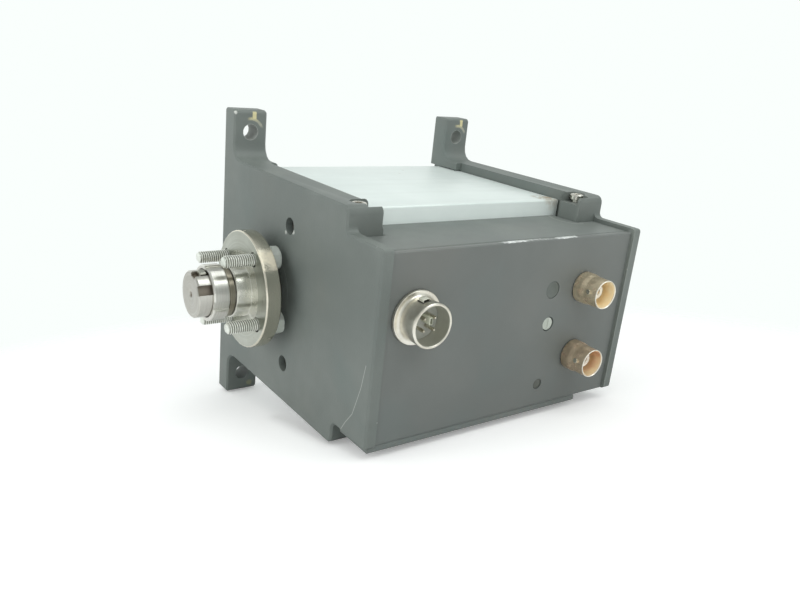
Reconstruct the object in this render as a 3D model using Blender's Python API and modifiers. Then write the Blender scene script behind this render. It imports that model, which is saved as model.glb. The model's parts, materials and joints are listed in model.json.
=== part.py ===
"""Rotary torque sensor: two cast end brackets with mounting ears carry a stator body, a flanged rotor
and an electronics housing with its connector panel.

Frame: metres, +Z up, X along the shaft, the panel faces -Y, the ears bolt to a wall behind (+Y).
Depths are measured forward from the mounting plane, and heights from the shaft's axis.
"""

from math import cos, pi, radians, sin

import bmesh
import bpy
from mathutils import Matrix, Vector

# Clearance between pieces that seat on or in each other.
SEAT_GAP = 0.0003

# End brackets, one casting each.
BODY_WIDTH = 0.103
EAR_SPAN = 0.104
EAR_WIDTH = 0.012
EAR_THICKNESS = 0.0076
EAR_CORNER = 0.0012
EAR_ROOT_FILLET = 0.005
EAR_ROOT_LENGTH = 0.017
EAR_HOLE_DIAMETER = 0.0054
EAR_HOLE_INSET = 0.0073
EAR_HOLE_FROM_SIDE = 0.006
PLATE_HEIGHT = 0.0714
STRIP_WIDTH = 0.0095
LUG_LENGTH = 0.0086
LUG_CORNER = 0.0017
LUG_FRONT_CORNER = 0.0024
LUG_ROOT_FILLET = 0.0018
BRACKET_DEPTH = 0.0826
CASTING_ROUND = 0.0006

# Thin front walls of the brackets, which stand proud of the housing and the panel.
CHEEK_LENGTH = 0.0177
CHEEK_ABOVE_HOUSING = 0.0012
CHEEK_THICKNESS = 0.0036
CHEEK_CORNER = 0.001
PANEL_RECESS = 0.001

# Stator body between the brackets. The shaft's axis lies a little in front of its middle.
STATOR_BACK = 0.0055
STATOR_BEHIND_LUGS = 0.0111
STATOR_HEIGHT = 0.065
STATOR_BORE = 0.044
AXIS_BEFORE_MIDDLE = 0.0009
STATOR_ROUND = 0.0005

# Electronics housing, panel and the cover under the housing.
HOUSING_HEIGHT = 0.0546
HOUSING_SHELL = 0.0022
PANEL_THICKNESS = 0.002
COVER_THICKNESS = 0.0018
COVER_FROM_LEFT = 0.0015
COVER_FROM_RIGHT = 0.0133
COVER_CORNER = 0.001
BOARD_THICKNESS = 0.0016
BOARD_MARGIN = 0.0015
BOARD_BEFORE_STEP = 0.0011
SPACER_RADIUS = 0.0025
SPACER_INSET = 0.005

# Rotor, from the middle to the shaft's ends.
SHAFT_RADIUS = 0.0073
SHAFT_BEYOND_NUT = 0.0041
SHAFT_CHAMFER = 0.0004
SHOULDER_HEIGHT = 0.002
NECK_CUT = 0.0013
NECK_LENGTH = 0.014
BOSS_LENGTH = 0.030
CENTRE_HOLE_RADIUS = 0.0011
CENTRE_HOLE_DEPTH = 0.002
KEYWAY_WIDTH = 0.003
KEYWAY_DEPTH = 0.0014
KEYWAY_UNDER_NUT = 0.0011
KEYWAY_ANGLE = 155.0
KEY_ANGLE = 104.0
KEY_FROM_END = 0.0017
KEY_STANDS_PROUD = 0.0006

# Bearings in the brackets.
BEARING_WIDTH = 0.007
BEARING_RADIUS = 0.014
BEARING_SPLIT = 0.0105
SEAL_BORE_RADIUS = 0.0112

# Signal rings around the rotor's middle.
ROTOR_RING_LENGTH = 0.016
STATOR_RING_WALL = 0.0041
STATOR_RING_LENGTH = 0.022
RING_AIR_GAP = 0.0006
COIL_GROOVE_WIDTH = 0.004
COIL_GROOVE_DEPTH = 0.002

# Flanges on the shaft's ends.
FLANGE_RIM = 0.00455
FLANGE_THICKNESS = 0.0049
FLANGE_STANDOFF = 0.0052
FLANGE_CHAMFER = 0.0003
HUB_WALL = 0.0011
HUB_LENGTH = 0.0049
BOLT_CIRCLE_RADIUS = 0.0141
BOLT_HOLE_RADIUS = 0.0023
BOLT_RADIUS = 0.002
BOLT_LENGTH = 0.015
BOLT_HEAD_FLATS = 0.007
BOLT_HEAD_HEIGHT = 0.0028
BOLT_PATTERN_TURN = -11.5
BOLT_COUNT = 4

# Lock washer and slotted lock nut that hold each flange.
WASHER_WALL = 0.0006
WASHER_LENGTH = 0.0016
NUT_WALL = 0.0015
NUT_LENGTH = 0.0051
NUT_CHAMFER = 0.0004
NUT_SLOT_WIDTH = 0.0027
NUT_SLOT_DEPTH = 0.0007
NUT_SLOT_ANGLE = 191.0
NUT_SLOT_COUNT = 4

# Socket-head screws: small ones in the brackets' sides, larger ones in their lugs.
SIDE_SCREW_RADIUS = 0.00125
SIDE_HEAD_RADIUS = 0.0023
SIDE_HEAD_HEIGHT = 0.0025
LUG_SCREW_RADIUS = 0.0015
LUG_HEAD_RADIUS = 0.0023
LUG_HEAD_HEIGHT = 0.0018
SOCKET_SHARE = 0.46
SOCKET_DEPTH = 0.0014
SCREW_LENGTH = 0.008
SIDE_SCREW_BEFORE_AXIS = 0.0112
SIDE_SCREW_BEYOND_BORE = 0.0006
SIDE_SCREW_SUNK = 0.0046
LUG_SCREW_FROM_FRONT = 0.0059
LUG_SCREW_FROM_SIDE = 0.007
LUG_POCKET_DEPTH = 0.003
LUG_POCKET_WALL = 0.0009
HEAD_CLEARANCE = 0.00035

# Round power connector on the panel.
POWER_FROM_LEFT = 0.0097
POWER_BELOW_TOP = 0.0185
POWER_REACH = 0.0081
POWER_RING_RADIUS = 0.00642
POWER_WALL = 0.0008
POWER_FLANGE_RIM = 0.00143
POWER_FLANGE_THICKNESS = 0.0009
POWER_NECK_FILLET = 0.0009
POWER_TAIL = 0.006
POWER_TAIL_WALL = 0.001
POWER_KEY_WIDTH = 0.0022
POWER_KEY_LENGTH = 0.0022
POWER_KEY_HEIGHT = 0.0007
POWER_KEY_ANGLE = 100.0
POWER_INSERT_FACE = 0.0055
POWER_INSERT_HEAD = 0.001
PIN_CIRCLE_RADIUS = 0.0024
PIN_RADIUS = 0.0005
PIN_COUNT = 4
PIN_BELOW_RIM = 0.0015
CENTRE_POST_WIDTH = 0.0009
CENTRE_POST_HEIGHT = 0.0018

# Two coaxial jacks on the panel.
JACK_FROM_RIGHT = 0.0195
JACK_SPACING = 0.0231
JACK_MIDDLE_Z = -0.0008
JACK_REACH = 0.0094
JACK_RADIUS = 0.0048
JACK_WALL = 0.00055
JACK_COLLAR_RIM = 0.0004
JACK_COLLAR_LENGTH = 0.0034
JACK_LUG_RADIUS = 0.0009
JACK_LUG_HEIGHT = 0.0008
JACK_LUG_FROM_RIM = 0.0055
JACK_LUG_ANGLES = (200.0, 20.0)
JACK_MOUTH_DEPTH = 0.0062
JACK_TAIL_INSET = 0.0003
JACK_TAIL_TO_BOARD = 0.0025
JACK_NUT_WALL = 0.00175
JACK_NUT_THICKNESS = 0.002
INSULATOR_RADIUS = 0.0024
INSULATOR_RECESS = 0.0052
CONTACT_RADIUS = 0.0009
CONTACT_BORE_RADIUS = 0.0005

# Small panel pieces: zero trimmer, round plug and power lamp.
TRIMMER_BESIDE_JACKS = 0.0134
TRIMMER_Z = -0.0004
TRIMMER_RADIUS = 0.0021
TRIMMER_LENGTH = 0.0045
TRIMMER_SUNK = 0.0003
TRIMMER_SLOT_WIDTH = 0.0007
TRIMMER_SLOT_DEPTH = 0.0008
PLUG_BESIDE_JACKS = 0.0138
PLUG_Z = 0.0109
PLUG_RADIUS = 0.0025
PLUG_LENGTH = 0.004
PLUG_DISH_RADIUS = 0.0017
PLUG_DISH_DEPTH = 0.0008
LAMP_BESIDE_JACKS = 0.0137
LAMP_ABOVE_BOTTOM = 0.0075
LAMP_RADIUS = 0.0015
LAMP_LENGTH = 0.0048

# Places that follow from the sizes above.
HALF_WIDTH = BODY_WIDTH / 2
HALF_STATOR = HALF_WIDTH - STRIP_WIDTH - SEAT_GAP
HOUSING_DEPTH = BRACKET_DEPTH + CHEEK_LENGTH
CHEEK_HEIGHT = HOUSING_HEIGHT + 2 * CHEEK_ABOVE_HOUSING
HOUSING_BOTTOM = -CHEEK_HEIGHT / 2
STATOR_FRONT = BRACKET_DEPTH - STATOR_BEHIND_LUGS
AXIS_DEPTH = (STATOR_BACK + STATOR_FRONT) / 2 + AXIS_BEFORE_MIDDLE
PANEL_DEPTH = HOUSING_DEPTH - PANEL_RECESS
PANEL_BACK = PANEL_DEPTH - PANEL_THICKNESS
TOTAL_DEPTH = PANEL_DEPTH + JACK_REACH
MOUNT_Y = TOTAL_DEPTH / 2
AXIS_Y = MOUNT_Y - AXIS_DEPTH
CHEEK_INSIDE = HALF_WIDTH - CHEEK_THICKNESS
FLANGE_BACK = HALF_WIDTH + FLANGE_STANDOFF
FLANGE_FRONT = FLANGE_BACK + FLANGE_THICKNESS
HUB_END = FLANGE_FRONT + HUB_LENGTH
WASHER_END = HUB_END + SEAT_GAP + WASHER_LENGTH
NUT_START = WASHER_END + SEAT_GAP
NUT_END = NUT_START + NUT_LENGTH
SHAFT_END = NUT_END + SHAFT_BEYOND_NUT
BEARING_INNER_END = HALF_WIDTH - STRIP_WIDTH
BEARING_OUTER_END = BEARING_INNER_END + BEARING_WIDTH
ROTOR_BORE_RADIUS = SHAFT_RADIUS + SEAT_GAP
SHOULDER_RADIUS = SHAFT_RADIUS + SHOULDER_HEIGHT
NECK_RADIUS = SHAFT_RADIUS - NECK_CUT
KEYWAY_LENGTH = SHAFT_BEYOND_NUT + KEYWAY_UNDER_NUT
STATOR_RING_RADIUS = STATOR_BORE / 2 - SEAT_GAP
ROTOR_RING_RADIUS = STATOR_RING_RADIUS - STATOR_RING_WALL - RING_AIR_GAP
FLANGE_RADIUS = BOLT_CIRCLE_RADIUS + FLANGE_RIM
HUB_RADIUS = SHAFT_RADIUS + HUB_WALL
WASHER_RADIUS = SHAFT_RADIUS + WASHER_WALL
NUT_RADIUS = SHAFT_RADIUS + NUT_WALL
SIDE_SCREW_DEPTH = AXIS_DEPTH + SIDE_SCREW_BEFORE_AXIS
SIDE_SCREW_HEIGHT = STATOR_BORE / 2 + SIDE_SCREW_BEYOND_BORE
LUG_SCREW_DEPTH = BRACKET_DEPTH - LUG_SCREW_FROM_FRONT
BOARD_BACK = BRACKET_DEPTH + SEAT_GAP + HOUSING_SHELL + BOARD_BEFORE_STEP
BOARD_FRONT = BOARD_BACK + BOARD_THICKNESS
POWER_X = POWER_FROM_LEFT - CHEEK_INSIDE
POWER_Z = HOUSING_HEIGHT / 2 - POWER_BELOW_TOP
POWER_BORE_RADIUS = POWER_RING_RADIUS - POWER_WALL
POWER_FLANGE_RADIUS = POWER_RING_RADIUS + POWER_FLANGE_RIM
POWER_TAIL_RADIUS = POWER_BORE_RADIUS - SEAT_GAP
INSERT_RADIUS = POWER_TAIL_RADIUS - POWER_TAIL_WALL - SEAT_GAP
JACK_X = CHEEK_INSIDE - JACK_FROM_RIGHT
JACK_Z = (JACK_MIDDLE_Z + JACK_SPACING / 2, JACK_MIDDLE_Z - JACK_SPACING / 2)
JACK_BORE_RADIUS = JACK_RADIUS - JACK_WALL
JACK_COLLAR_RADIUS = JACK_RADIUS + JACK_COLLAR_RIM
JACK_TAIL = PANEL_BACK - BOARD_FRONT - JACK_TAIL_TO_BOARD
JACK_TAIL_RADIUS = JACK_RADIUS - JACK_TAIL_INSET
TRIMMER_X = JACK_X - TRIMMER_BESIDE_JACKS
PLUG_X = JACK_X - PLUG_BESIDE_JACKS
LAMP_X = JACK_X - LAMP_BESIDE_JACKS
LAMP_Z = HOUSING_BOTTOM + LAMP_ABOVE_BOTTOM

TURN_STEPS = 28
SMALL_STEPS = 14
FINE_STEPS = 40

# Local axes of a flat outline, and of a turned shape's height, in the sensor's frame.
SIDE_VIEW = Matrix(((0, 0, -1), (-1, 0, 0), (0, 1, 0))).to_4x4()
PLAN_VIEW = Matrix(((1, 0, 0), (0, -1, 0), (0, 0, -1))).to_4x4()
FRONT_VIEW = Matrix(((1, 0, 0), (0, 0, -1), (0, 1, 0))).to_4x4()
ALONG_SHAFT = {1: Matrix.Rotation(pi / 2, 4, "Y"), -1: Matrix.Rotation(-pi / 2, 4, "Y")}
OUT_OF_PANEL = Matrix.Rotation(pi / 2, 4, "X")
UPRIGHT = {1: Matrix.Identity(4), -1: Matrix.Rotation(pi, 4, "X")}

for leftover in list(bpy.data.objects):
    bpy.data.objects.remove(leftover, do_unlink=True)

PARTS = bpy.data.collections.new("rotary_torque_sensor")
CUTTERS = bpy.data.collections.new("cutters")
CUTTERS.hide_render = True
bpy.context.scene.collection.children.link(PARTS)
bpy.context.scene.collection.children.link(CUTTERS)


def material(name, color, roughness, metallic):
    made = bpy.data.materials.new(name)
    made.use_nodes = True
    shader = made.node_tree.nodes["Principled BSDF"]
    shader.inputs["Base Color"].default_value = (*color, 1.0)
    shader.inputs["Roughness"].default_value = roughness
    shader.inputs["Metallic"].default_value = metallic
    return made


GREY_PAINT = material("grey_paint", (0.17, 0.185, 0.175), 0.45, 0.0)
PANEL_PAINT = material("panel_paint", (0.155, 0.165, 0.158), 0.50, 0.0)
CLEAR_ANODISED = material("clear_anodised", (0.72, 0.74, 0.73), 0.42, 0.9)
TURNED_STEEL = material("turned_steel", (0.55, 0.55, 0.53), 0.28, 1.0)
BRIGHT_STEEL = material("bright_steel", (0.66, 0.66, 0.65), 0.18, 1.0)
ZINC = material("zinc_plate", (0.62, 0.66, 0.64), 0.30, 1.0)
BEARING_STEEL = material("bearing_steel", (0.58, 0.58, 0.58), 0.20, 1.0)
COIL_RESIN = material("coil_resin", (0.10, 0.06, 0.04), 0.55, 0.0)
NICKEL = material("nickel_plate", (0.70, 0.68, 0.64), 0.22, 1.0)
GOLD = material("gold_plate", (0.72, 0.53, 0.30), 0.28, 1.0)
DARK_PLASTIC = material("dark_plastic", (0.05, 0.05, 0.05), 0.50, 0.0)
WHITE_PLASTIC = material("white_plastic", (0.75, 0.75, 0.72), 0.45, 0.0)
BOARD_GREEN = material("board_green", (0.03, 0.16, 0.07), 0.45, 0.0)
LAMP_LENS = material("lamp_lens", (0.06, 0.065, 0.055), 0.20, 0.0)


def new_object(name, mesh, look=None, cutter=False):
    obj = bpy.data.objects.new(name, mesh)
    (CUTTERS if cutter else PARTS).objects.link(obj)
    if cutter:
        obj.hide_render = True
        obj.display_type = "WIRE"
    elif look and not mesh.materials:
        mesh.materials.append(look)
    return obj


def mesh_from(build, name):
    shape = bmesh.new()
    build(shape)
    bmesh.ops.recalc_face_normals(shape, faces=shape.faces)
    mesh = bpy.data.meshes.new(name)
    shape.to_mesh(mesh)
    shape.free()
    return mesh


def box(name, low, high, look=None, cutter=False):
    """A box between two corners, with its origin at its middle."""
    low, high = Vector(low), Vector(high)
    size = high - low

    def build(shape):
        bmesh.ops.create_cube(shape, size=1.0)
        bmesh.ops.scale(shape, vec=size, verts=shape.verts)

    obj = new_object(name, mesh_from(build, name), look, cutter)
    obj.location = (low + high) / 2
    return obj


def prism(name, radius, length, sides, look=None, cutter=False, turn=0.0):
    """A cylinder or a hexagon along local Z, from 0 up to its length."""

    def build(shape):
        bmesh.ops.create_cone(
            shape, cap_ends=True, segments=sides, radius1=radius, radius2=radius, depth=length
        )
        bmesh.ops.rotate(shape, matrix=Matrix.Rotation(turn, 3, "Z"), verts=shape.verts)
        bmesh.ops.translate(shape, vec=(0, 0, length / 2), verts=shape.verts)

    return new_object(name, mesh_from(build, name), look, cutter)


def turned(name, profile, look=None, cutter=False, steps=TURN_STEPS, ring=False):
    """A profile of (radius, height) points turned about local Z. Its outer side runs top to bottom."""
    mesh = bpy.data.meshes.new(name)
    edges = [(i, i + 1) for i in range(len(profile) - 1)]
    if ring:
        edges.append((len(profile) - 1, 0))
    mesh.from_pydata([(radius, 0, height) for radius, height in profile], edges, [])
    obj = new_object(name, mesh, look, cutter)
    screw = obj.modifiers.new("turn", "SCREW")
    screw.axis = "Z"
    screw.angle = 2 * pi
    screw.steps = steps
    screw.render_steps = steps
    screw.use_merge_vertices = True
    screw.merge_threshold = 0.00001
    screw.use_smooth_shade = True
    return obj


def arc_corner(before, corner, after, radius, steps):
    """Points of the arc that rounds one corner of an outline."""
    a, c, b = Vector(before), Vector(corner), Vector(after)
    to_a, to_b = (a - c).normalized(), (b - c).normalized()
    half = to_a.angle(to_b) / 2
    reach = radius * cos(half) / sin(half)
    middle = c + (to_a + to_b).normalized() * (radius / sin(half))
    start, end = c + to_a * reach - middle, c + to_b * reach - middle
    sweep = start.angle_signed(end)
    turns = [Matrix.Rotation(-sweep * i / steps, 2) for i in range(steps + 1)]
    return [middle + turn @ start for turn in turns]


def outline(name, corners, thickness, view, look=None, cutter=False, steps=4):
    """A flat plate cut to an outline. Each corner is (u, v) or (u, v, radius)."""
    points = []
    for i, (u, v, *radius) in enumerate(corners):
        if radius:
            before, after = corners[i - 1][:2], corners[(i + 1) % len(corners)][:2]
            points += arc_corner(before, (u, v), after, radius[0], steps)
        else:
            points.append(Vector((u, v)))
    curve = bpy.data.curves.new(name, "CURVE")
    curve.dimensions = "2D"
    curve.fill_mode = "BOTH"
    curve.extrude = thickness / 2
    spline = curve.splines.new("POLY")
    spline.points.add(len(points) - 1)
    for point, place in zip(spline.points, points):
        point.co = (*place, 0, 1)
    spline.use_cyclic_u = True
    guide = bpy.data.objects.new(name + "_outline", curve)
    PARTS.objects.link(guide)
    guide.matrix_world = view
    bpy.context.view_layer.update()
    graph = bpy.context.evaluated_depsgraph_get()
    mesh = bpy.data.meshes.new_from_object(guide.evaluated_get(graph))
    mesh.name = name
    shape = bmesh.new()
    shape.from_mesh(mesh)
    bmesh.ops.remove_doubles(shape, verts=shape.verts, dist=0.000001)
    bmesh.ops.recalc_face_normals(shape, faces=shape.faces)
    # The filled caps come as triangles, and whole faces bevel and cut more cleanly.
    caps = [edge for edge in shape.edges if edge.calc_face_angle(1) < radians(0.5)]
    bmesh.ops.dissolve_edges(shape, edges=caps, use_verts=False, use_face_split=False)
    bmesh.ops.recalc_face_normals(shape, faces=shape.faces)
    shape.to_mesh(mesh)
    shape.free()
    obj = new_object(name, mesh, look, cutter)
    obj.matrix_world = guide.matrix_world
    bpy.data.objects.remove(guide, do_unlink=True)
    return obj


def boolean(obj, tool, operation="DIFFERENCE"):
    step = obj.modifiers.new(tool.name, "BOOLEAN")
    step.operation = operation
    step.object = tool
    step.solver = "EXACT"


def round_edges(obj, width, segments=2, angle=35):
    step = obj.modifiers.new("round", "BEVEL")
    step.width = width
    step.segments = segments
    step.limit_method = "ANGLE"
    step.angle_limit = radians(angle)


def smooth(obj, angle=35):
    obj.data.shade_smooth()
    obj.data.set_sharp_from_angle(angle=radians(angle))


def hole(name, radius, length, place, turn, steps=SMALL_STEPS):
    """A round cutter that starts at a place and runs along the turned local Z."""
    tool = prism(name, radius, length, steps, cutter=True)
    tool.matrix_world = Matrix.Translation(place) @ turn
    return tool


# --- Brackets ---------------------------------------------------------------------------------


def bracket_outline():
    """Side view of a bracket as (depth, height): ears at the back, lugs, then the thin cheek in front."""
    ear, plate, cheek = EAR_SPAN / 2, PLATE_HEIGHT / 2, CHEEK_HEIGHT / 2
    upper = [
        (0, ear, EAR_CORNER / 2),
        (EAR_THICKNESS, ear, EAR_CORNER),
        (EAR_THICKNESS, plate, EAR_ROOT_FILLET),
        (BRACKET_DEPTH, plate, LUG_FRONT_CORNER),
        (BRACKET_DEPTH, cheek, LUG_ROOT_FILLET),
        (HOUSING_DEPTH, cheek, CHEEK_CORNER),
    ]
    lower = [(depth, -height, *radius) for depth, height, *radius in reversed(upper)]
    return upper + lower


def side_screw_places():
    return [(SIDE_SCREW_DEPTH, level * SIDE_SCREW_HEIGHT) for level in (1, -1)]


def bracket(name, side):
    """One end bracket. Side is -1 for the left one and 1 for the right one."""

    def across(inset):
        return side * (HALF_WIDTH - inset)

    def block(label, insets, depths, heights):
        xs = sorted(across(inset) for inset in insets)
        ys = (MOUNT_Y - depths[1], MOUNT_Y - depths[0])
        return box(label, (xs[0], ys[0], heights[0]), (xs[1], ys[1], heights[1]), cutter=True)

    plate = PLATE_HEIGHT / 2
    beyond = 0.002
    obj = outline(name, bracket_outline(), EAR_WIDTH, SIDE_VIEW, GREY_PAINT)
    obj.location = (across(EAR_WIDTH / 2), MOUNT_Y, 0)
    round_edges(obj, CASTING_ROUND, 1)
    seat = STATOR_HEIGHT / 2 + SEAT_GAP
    lug_back = BRACKET_DEPTH - LUG_LENGTH
    inside = (STRIP_WIDTH, EAR_WIDTH + beyond)
    between = (EAR_ROOT_LENGTH, lug_back)
    boolean(obj, block(name + "_relief", inside, between, (-plate - beyond, plate + beyond)))
    behind = (-beyond, EAR_ROOT_LENGTH + beyond)
    boolean(obj, block(name + "_seat", inside, behind, (-seat, seat)))
    for level in (1, -1):
        for tilt in (22.5, 45, 67.5):
            centre = (across(EAR_WIDTH - LUG_CORNER), 0, level * (plate - LUG_CORNER))
            reach = (lug_back - beyond, BRACKET_DEPTH + beyond)
            low = (LUG_CORNER, MOUNT_Y - reach[1], -2 * LUG_CORNER)
            high = (3 * LUG_CORNER, MOUNT_Y - reach[0], 2 * LUG_CORNER)
            tool = box(f"{name}_corner_{level}_{tilt:.0f}", low, high, cutter=True)
            facing = 180 - tilt if side == 1 else tilt
            lean = Matrix.Rotation(-level * radians(facing), 4, "Y")
            tool.matrix_world = Matrix.Translation(centre) @ lean @ Matrix.Translation(tool.location)
            boolean(obj, tool)
    cheek_side = (CHEEK_THICKNESS, EAR_WIDTH + beyond)
    front = (BRACKET_DEPTH, HOUSING_DEPTH + beyond)
    boolean(obj, block(name + "_cheek_side", cheek_side, front, (-plate, plate)))
    bearing_seat = turned(
        name + "_bearing_seat",
        [
            (0, HALF_WIDTH + beyond),
            (SEAL_BORE_RADIUS, HALF_WIDTH + beyond),
            (SEAL_BORE_RADIUS, BEARING_OUTER_END + SEAT_GAP),
            (BEARING_RADIUS + SEAT_GAP, BEARING_OUTER_END + SEAT_GAP),
            (BEARING_RADIUS + SEAT_GAP, BEARING_INNER_END - beyond),
            (0, BEARING_INNER_END - beyond),
        ],
        cutter=True,
    )
    bearing_seat.matrix_world = Matrix.Translation((0, AXIS_Y, 0)) @ ALONG_SHAFT[side]
    boolean(obj, bearing_seat)
    for level in (1, -1):
        height = level * (EAR_SPAN / 2 - EAR_HOLE_INSET)
        place = (across(EAR_HOLE_FROM_SIDE), MOUNT_Y + beyond, height)
        length = EAR_THICKNESS + 2 * beyond
        tool = hole(f"{name}_ear_hole_{level}", EAR_HOLE_DIAMETER / 2, length, place, OUT_OF_PANEL)
        boolean(obj, tool)
    sunk = SIDE_SCREW_SUNK
    for depth, height in side_screw_places():
        place = (across(STRIP_WIDTH + beyond), MOUNT_Y - depth, height)
        length = STRIP_WIDTH + 2 * beyond
        turn = ALONG_SHAFT[side]
        radius = SIDE_SCREW_RADIUS + SEAT_GAP
        boolean(obj, hole(f"{name}_screw_{height:.3f}", radius, length, place, turn))
        place = (across(sunk), MOUNT_Y - depth, height)
        radius = SIDE_HEAD_RADIUS + HEAD_CLEARANCE
        boolean(obj, hole(f"{name}_head_{height:.3f}", radius, sunk + beyond, place, turn))
    for level in (1, -1):
        floor = level * (plate - LUG_POCKET_DEPTH)
        place = (across(LUG_SCREW_FROM_SIDE), MOUNT_Y - LUG_SCREW_DEPTH, floor)
        radius = LUG_HEAD_RADIUS + HEAD_CLEARANCE
        turn = UPRIGHT[level]
        boolean(obj, hole(f"{name}_pocket_{level}", radius, LUG_POCKET_DEPTH + beyond, place, turn))
        insets = (LUG_SCREW_FROM_SIDE, EAR_WIDTH + beyond)
        depths = (LUG_SCREW_DEPTH - radius, BRACKET_DEPTH - LUG_POCKET_WALL)
        heights = sorted((floor, level * (plate + beyond)))
        boolean(obj, block(f"{name}_slot_{level}", insets, depths, heights))
        below = SCREW_LENGTH + SEAT_GAP * 2
        place = (place[0], place[1], floor - level * below)
        radius = LUG_SCREW_RADIUS + SEAT_GAP
        boolean(obj, hole(f"{name}_tap_{level}", radius, below + beyond, place, turn))
    smooth(obj)
    return obj


LEFT_BRACKET = bracket("left_bracket", -1)
RIGHT_BRACKET = bracket("right_bracket", 1)


# --- Stator body ------------------------------------------------------------------------------


def stator_body():
    half = STATOR_HEIGHT / 2
    obj = box(
        "stator_body",
        (-HALF_STATOR, MOUNT_Y - STATOR_FRONT, -half),
        (HALF_STATOR, MOUNT_Y - STATOR_BACK, half),
        CLEAR_ANODISED,
    )
    round_edges(obj, STATOR_ROUND)
    beyond = 0.002
    place = (-HALF_STATOR - beyond, AXIS_Y, 0)
    length = 2 * (HALF_STATOR + beyond)
    bore = hole("stator_bore", STATOR_BORE / 2, length, place, ALONG_SHAFT[1], FINE_STEPS)
    boolean(obj, bore)
    for side in (-1, 1):
        for depth, height in side_screw_places():
            end = HALF_WIDTH - SIDE_SCREW_SUNK - SCREW_LENGTH - 2 * SEAT_GAP
            place = (side * end, MOUNT_Y - depth, height)
            name = f"stator_tap_{side}_{height:.3f}"
            length = HALF_STATOR - end + beyond
            radius = SIDE_SCREW_RADIUS + SEAT_GAP
            boolean(obj, hole(name, radius, length, place, ALONG_SHAFT[side]))
    smooth(obj)
    return obj


stator_body()


# --- Electronics housing ----------------------------------------------------------------------


def housing_block(label, width, back, front, shrink=0.0, cutter=False):
    """A block of the housing between two depths, or a smaller one for its hollow."""
    low = (-width / 2 + shrink, MOUNT_Y - front, HOUSING_BOTTOM + shrink)
    high = (width / 2 - shrink, MOUNT_Y - back - shrink, HOUSING_HEIGHT / 2 - shrink)
    return box(label, low, high, GREY_PAINT, cutter)


def front_housing():
    """A shell open to the panel: a narrow block between the lugs joined to a wide one between the cheeks."""
    wide = 2 * (CHEEK_INSIDE - SEAT_GAP)
    narrow = 2 * (HALF_WIDTH - EAR_WIDTH - SEAT_GAP)
    back = STATOR_FRONT + SEAT_GAP
    step = BRACKET_DEPTH + SEAT_GAP
    front = PANEL_BACK - SEAT_GAP
    beyond = 0.006
    obj = housing_block("front_housing", wide, step, front)
    rear = housing_block("housing_rear", narrow, back, step + HOUSING_SHELL / 2, cutter=True)
    boolean(obj, rear, "UNION")
    hollows = (("wide", wide, step, front + beyond), ("narrow", narrow, back, step + beyond))
    for label, width, start, end in hollows:
        name = "housing_hollow_" + label
        boolean(obj, housing_block(name, width, start, end, HOUSING_SHELL, cutter=True))
    return obj


front_housing()


def at_panel(x, z, depth=PANEL_DEPTH):
    """Places a piece whose local Z points out of the panel."""
    return Matrix.Translation((x, MOUNT_Y - depth, z)) @ OUT_OF_PANEL


def panel_openings():
    """Where the panel is cut: (x, z, radius of what passes through)."""
    jacks = [(JACK_X, z, JACK_TAIL_RADIUS) for z in JACK_Z]
    return jacks + [
        (POWER_X, POWER_Z, POWER_TAIL_RADIUS),
        (TRIMMER_X, TRIMMER_Z, TRIMMER_RADIUS),
        (PLUG_X, PLUG_Z, PLUG_RADIUS),
        (LAMP_X, LAMP_Z, LAMP_RADIUS),
    ]


def front_panel():
    wide = CHEEK_INSIDE - SEAT_GAP
    low = (-wide, MOUNT_Y - PANEL_DEPTH, HOUSING_BOTTOM)
    high = (wide, MOUNT_Y - PANEL_BACK, HOUSING_HEIGHT / 2)
    obj = box("front_panel", low, high, PANEL_PAINT)
    round_edges(obj, 0.0003, 1)
    for number, (x, z, radius) in enumerate(panel_openings()):
        tool = prism(f"panel_opening_{number}", radius + SEAT_GAP, 0.01, 20, cutter=True)
        tool.matrix_world = at_panel(x, z, PANEL_DEPTH - 0.006)
        boolean(obj, tool)
    return obj


front_panel()


def bottom_cover():
    """The cover under the housing and the left cheek, flush with the panel, rounded at its free corner."""
    left = -HALF_WIDTH + COVER_FROM_LEFT
    back = BRACKET_DEPTH + LUG_ROOT_FILLET + SEAT_GAP
    right = CHEEK_INSIDE - COVER_FROM_RIGHT
    corners = [
        (left, back),
        (right, back),
        (right, PANEL_DEPTH, COVER_CORNER),
        (left, PANEL_DEPTH),
    ]
    obj = outline("bottom_cover", corners, COVER_THICKNESS, PLAN_VIEW, GREY_PAINT)
    obj.location = (0, MOUNT_Y, HOUSING_BOTTOM - SEAT_GAP - COVER_THICKNESS / 2)
    round_edges(obj, 0.0004, 1)
    return obj


bottom_cover()


def board_half_size():
    inside = HOUSING_SHELL + SEAT_GAP + BOARD_MARGIN
    return CHEEK_INSIDE - inside, HOUSING_HEIGHT / 2 - inside


def circuit_board():
    half_x, half_z = board_half_size()
    obj = box(
        "circuit_board",
        (-half_x, MOUNT_Y - BOARD_FRONT, -half_z),
        (half_x, MOUNT_Y - BOARD_BACK, half_z),
        BOARD_GREEN,
    )
    return obj


circuit_board()


def board_spacers():
    half_x, half_z = board_half_size()
    length = PANEL_BACK - BOARD_FRONT - 2 * SEAT_GAP
    shared = None
    for number, (sx, sz) in enumerate(((-1, 1), (1, 1), (-1, -1), (1, -1)), start=1):
        name = f"board_spacer_{number}"
        if shared is None:
            obj = prism(name, SPACER_RADIUS, length, SMALL_STEPS, BRIGHT_STEEL)
            smooth(obj)
            shared = obj.data
        else:
            obj = new_object(name, shared)
        x, z = sx * (half_x - SPACER_INSET), sz * (half_z - SPACER_INSET)
        obj.matrix_world = at_panel(x, z, BOARD_FRONT + SEAT_GAP)


board_spacers()


# --- Rotor ------------------------------------------------------------------------------------

ROTOR = bpy.data.objects.new("rotor_axis", None)
ROTOR.location = (0, AXIS_Y, 0)
ROTOR.empty_display_size = 0.01
PARTS.objects.link(ROTOR)


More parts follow.
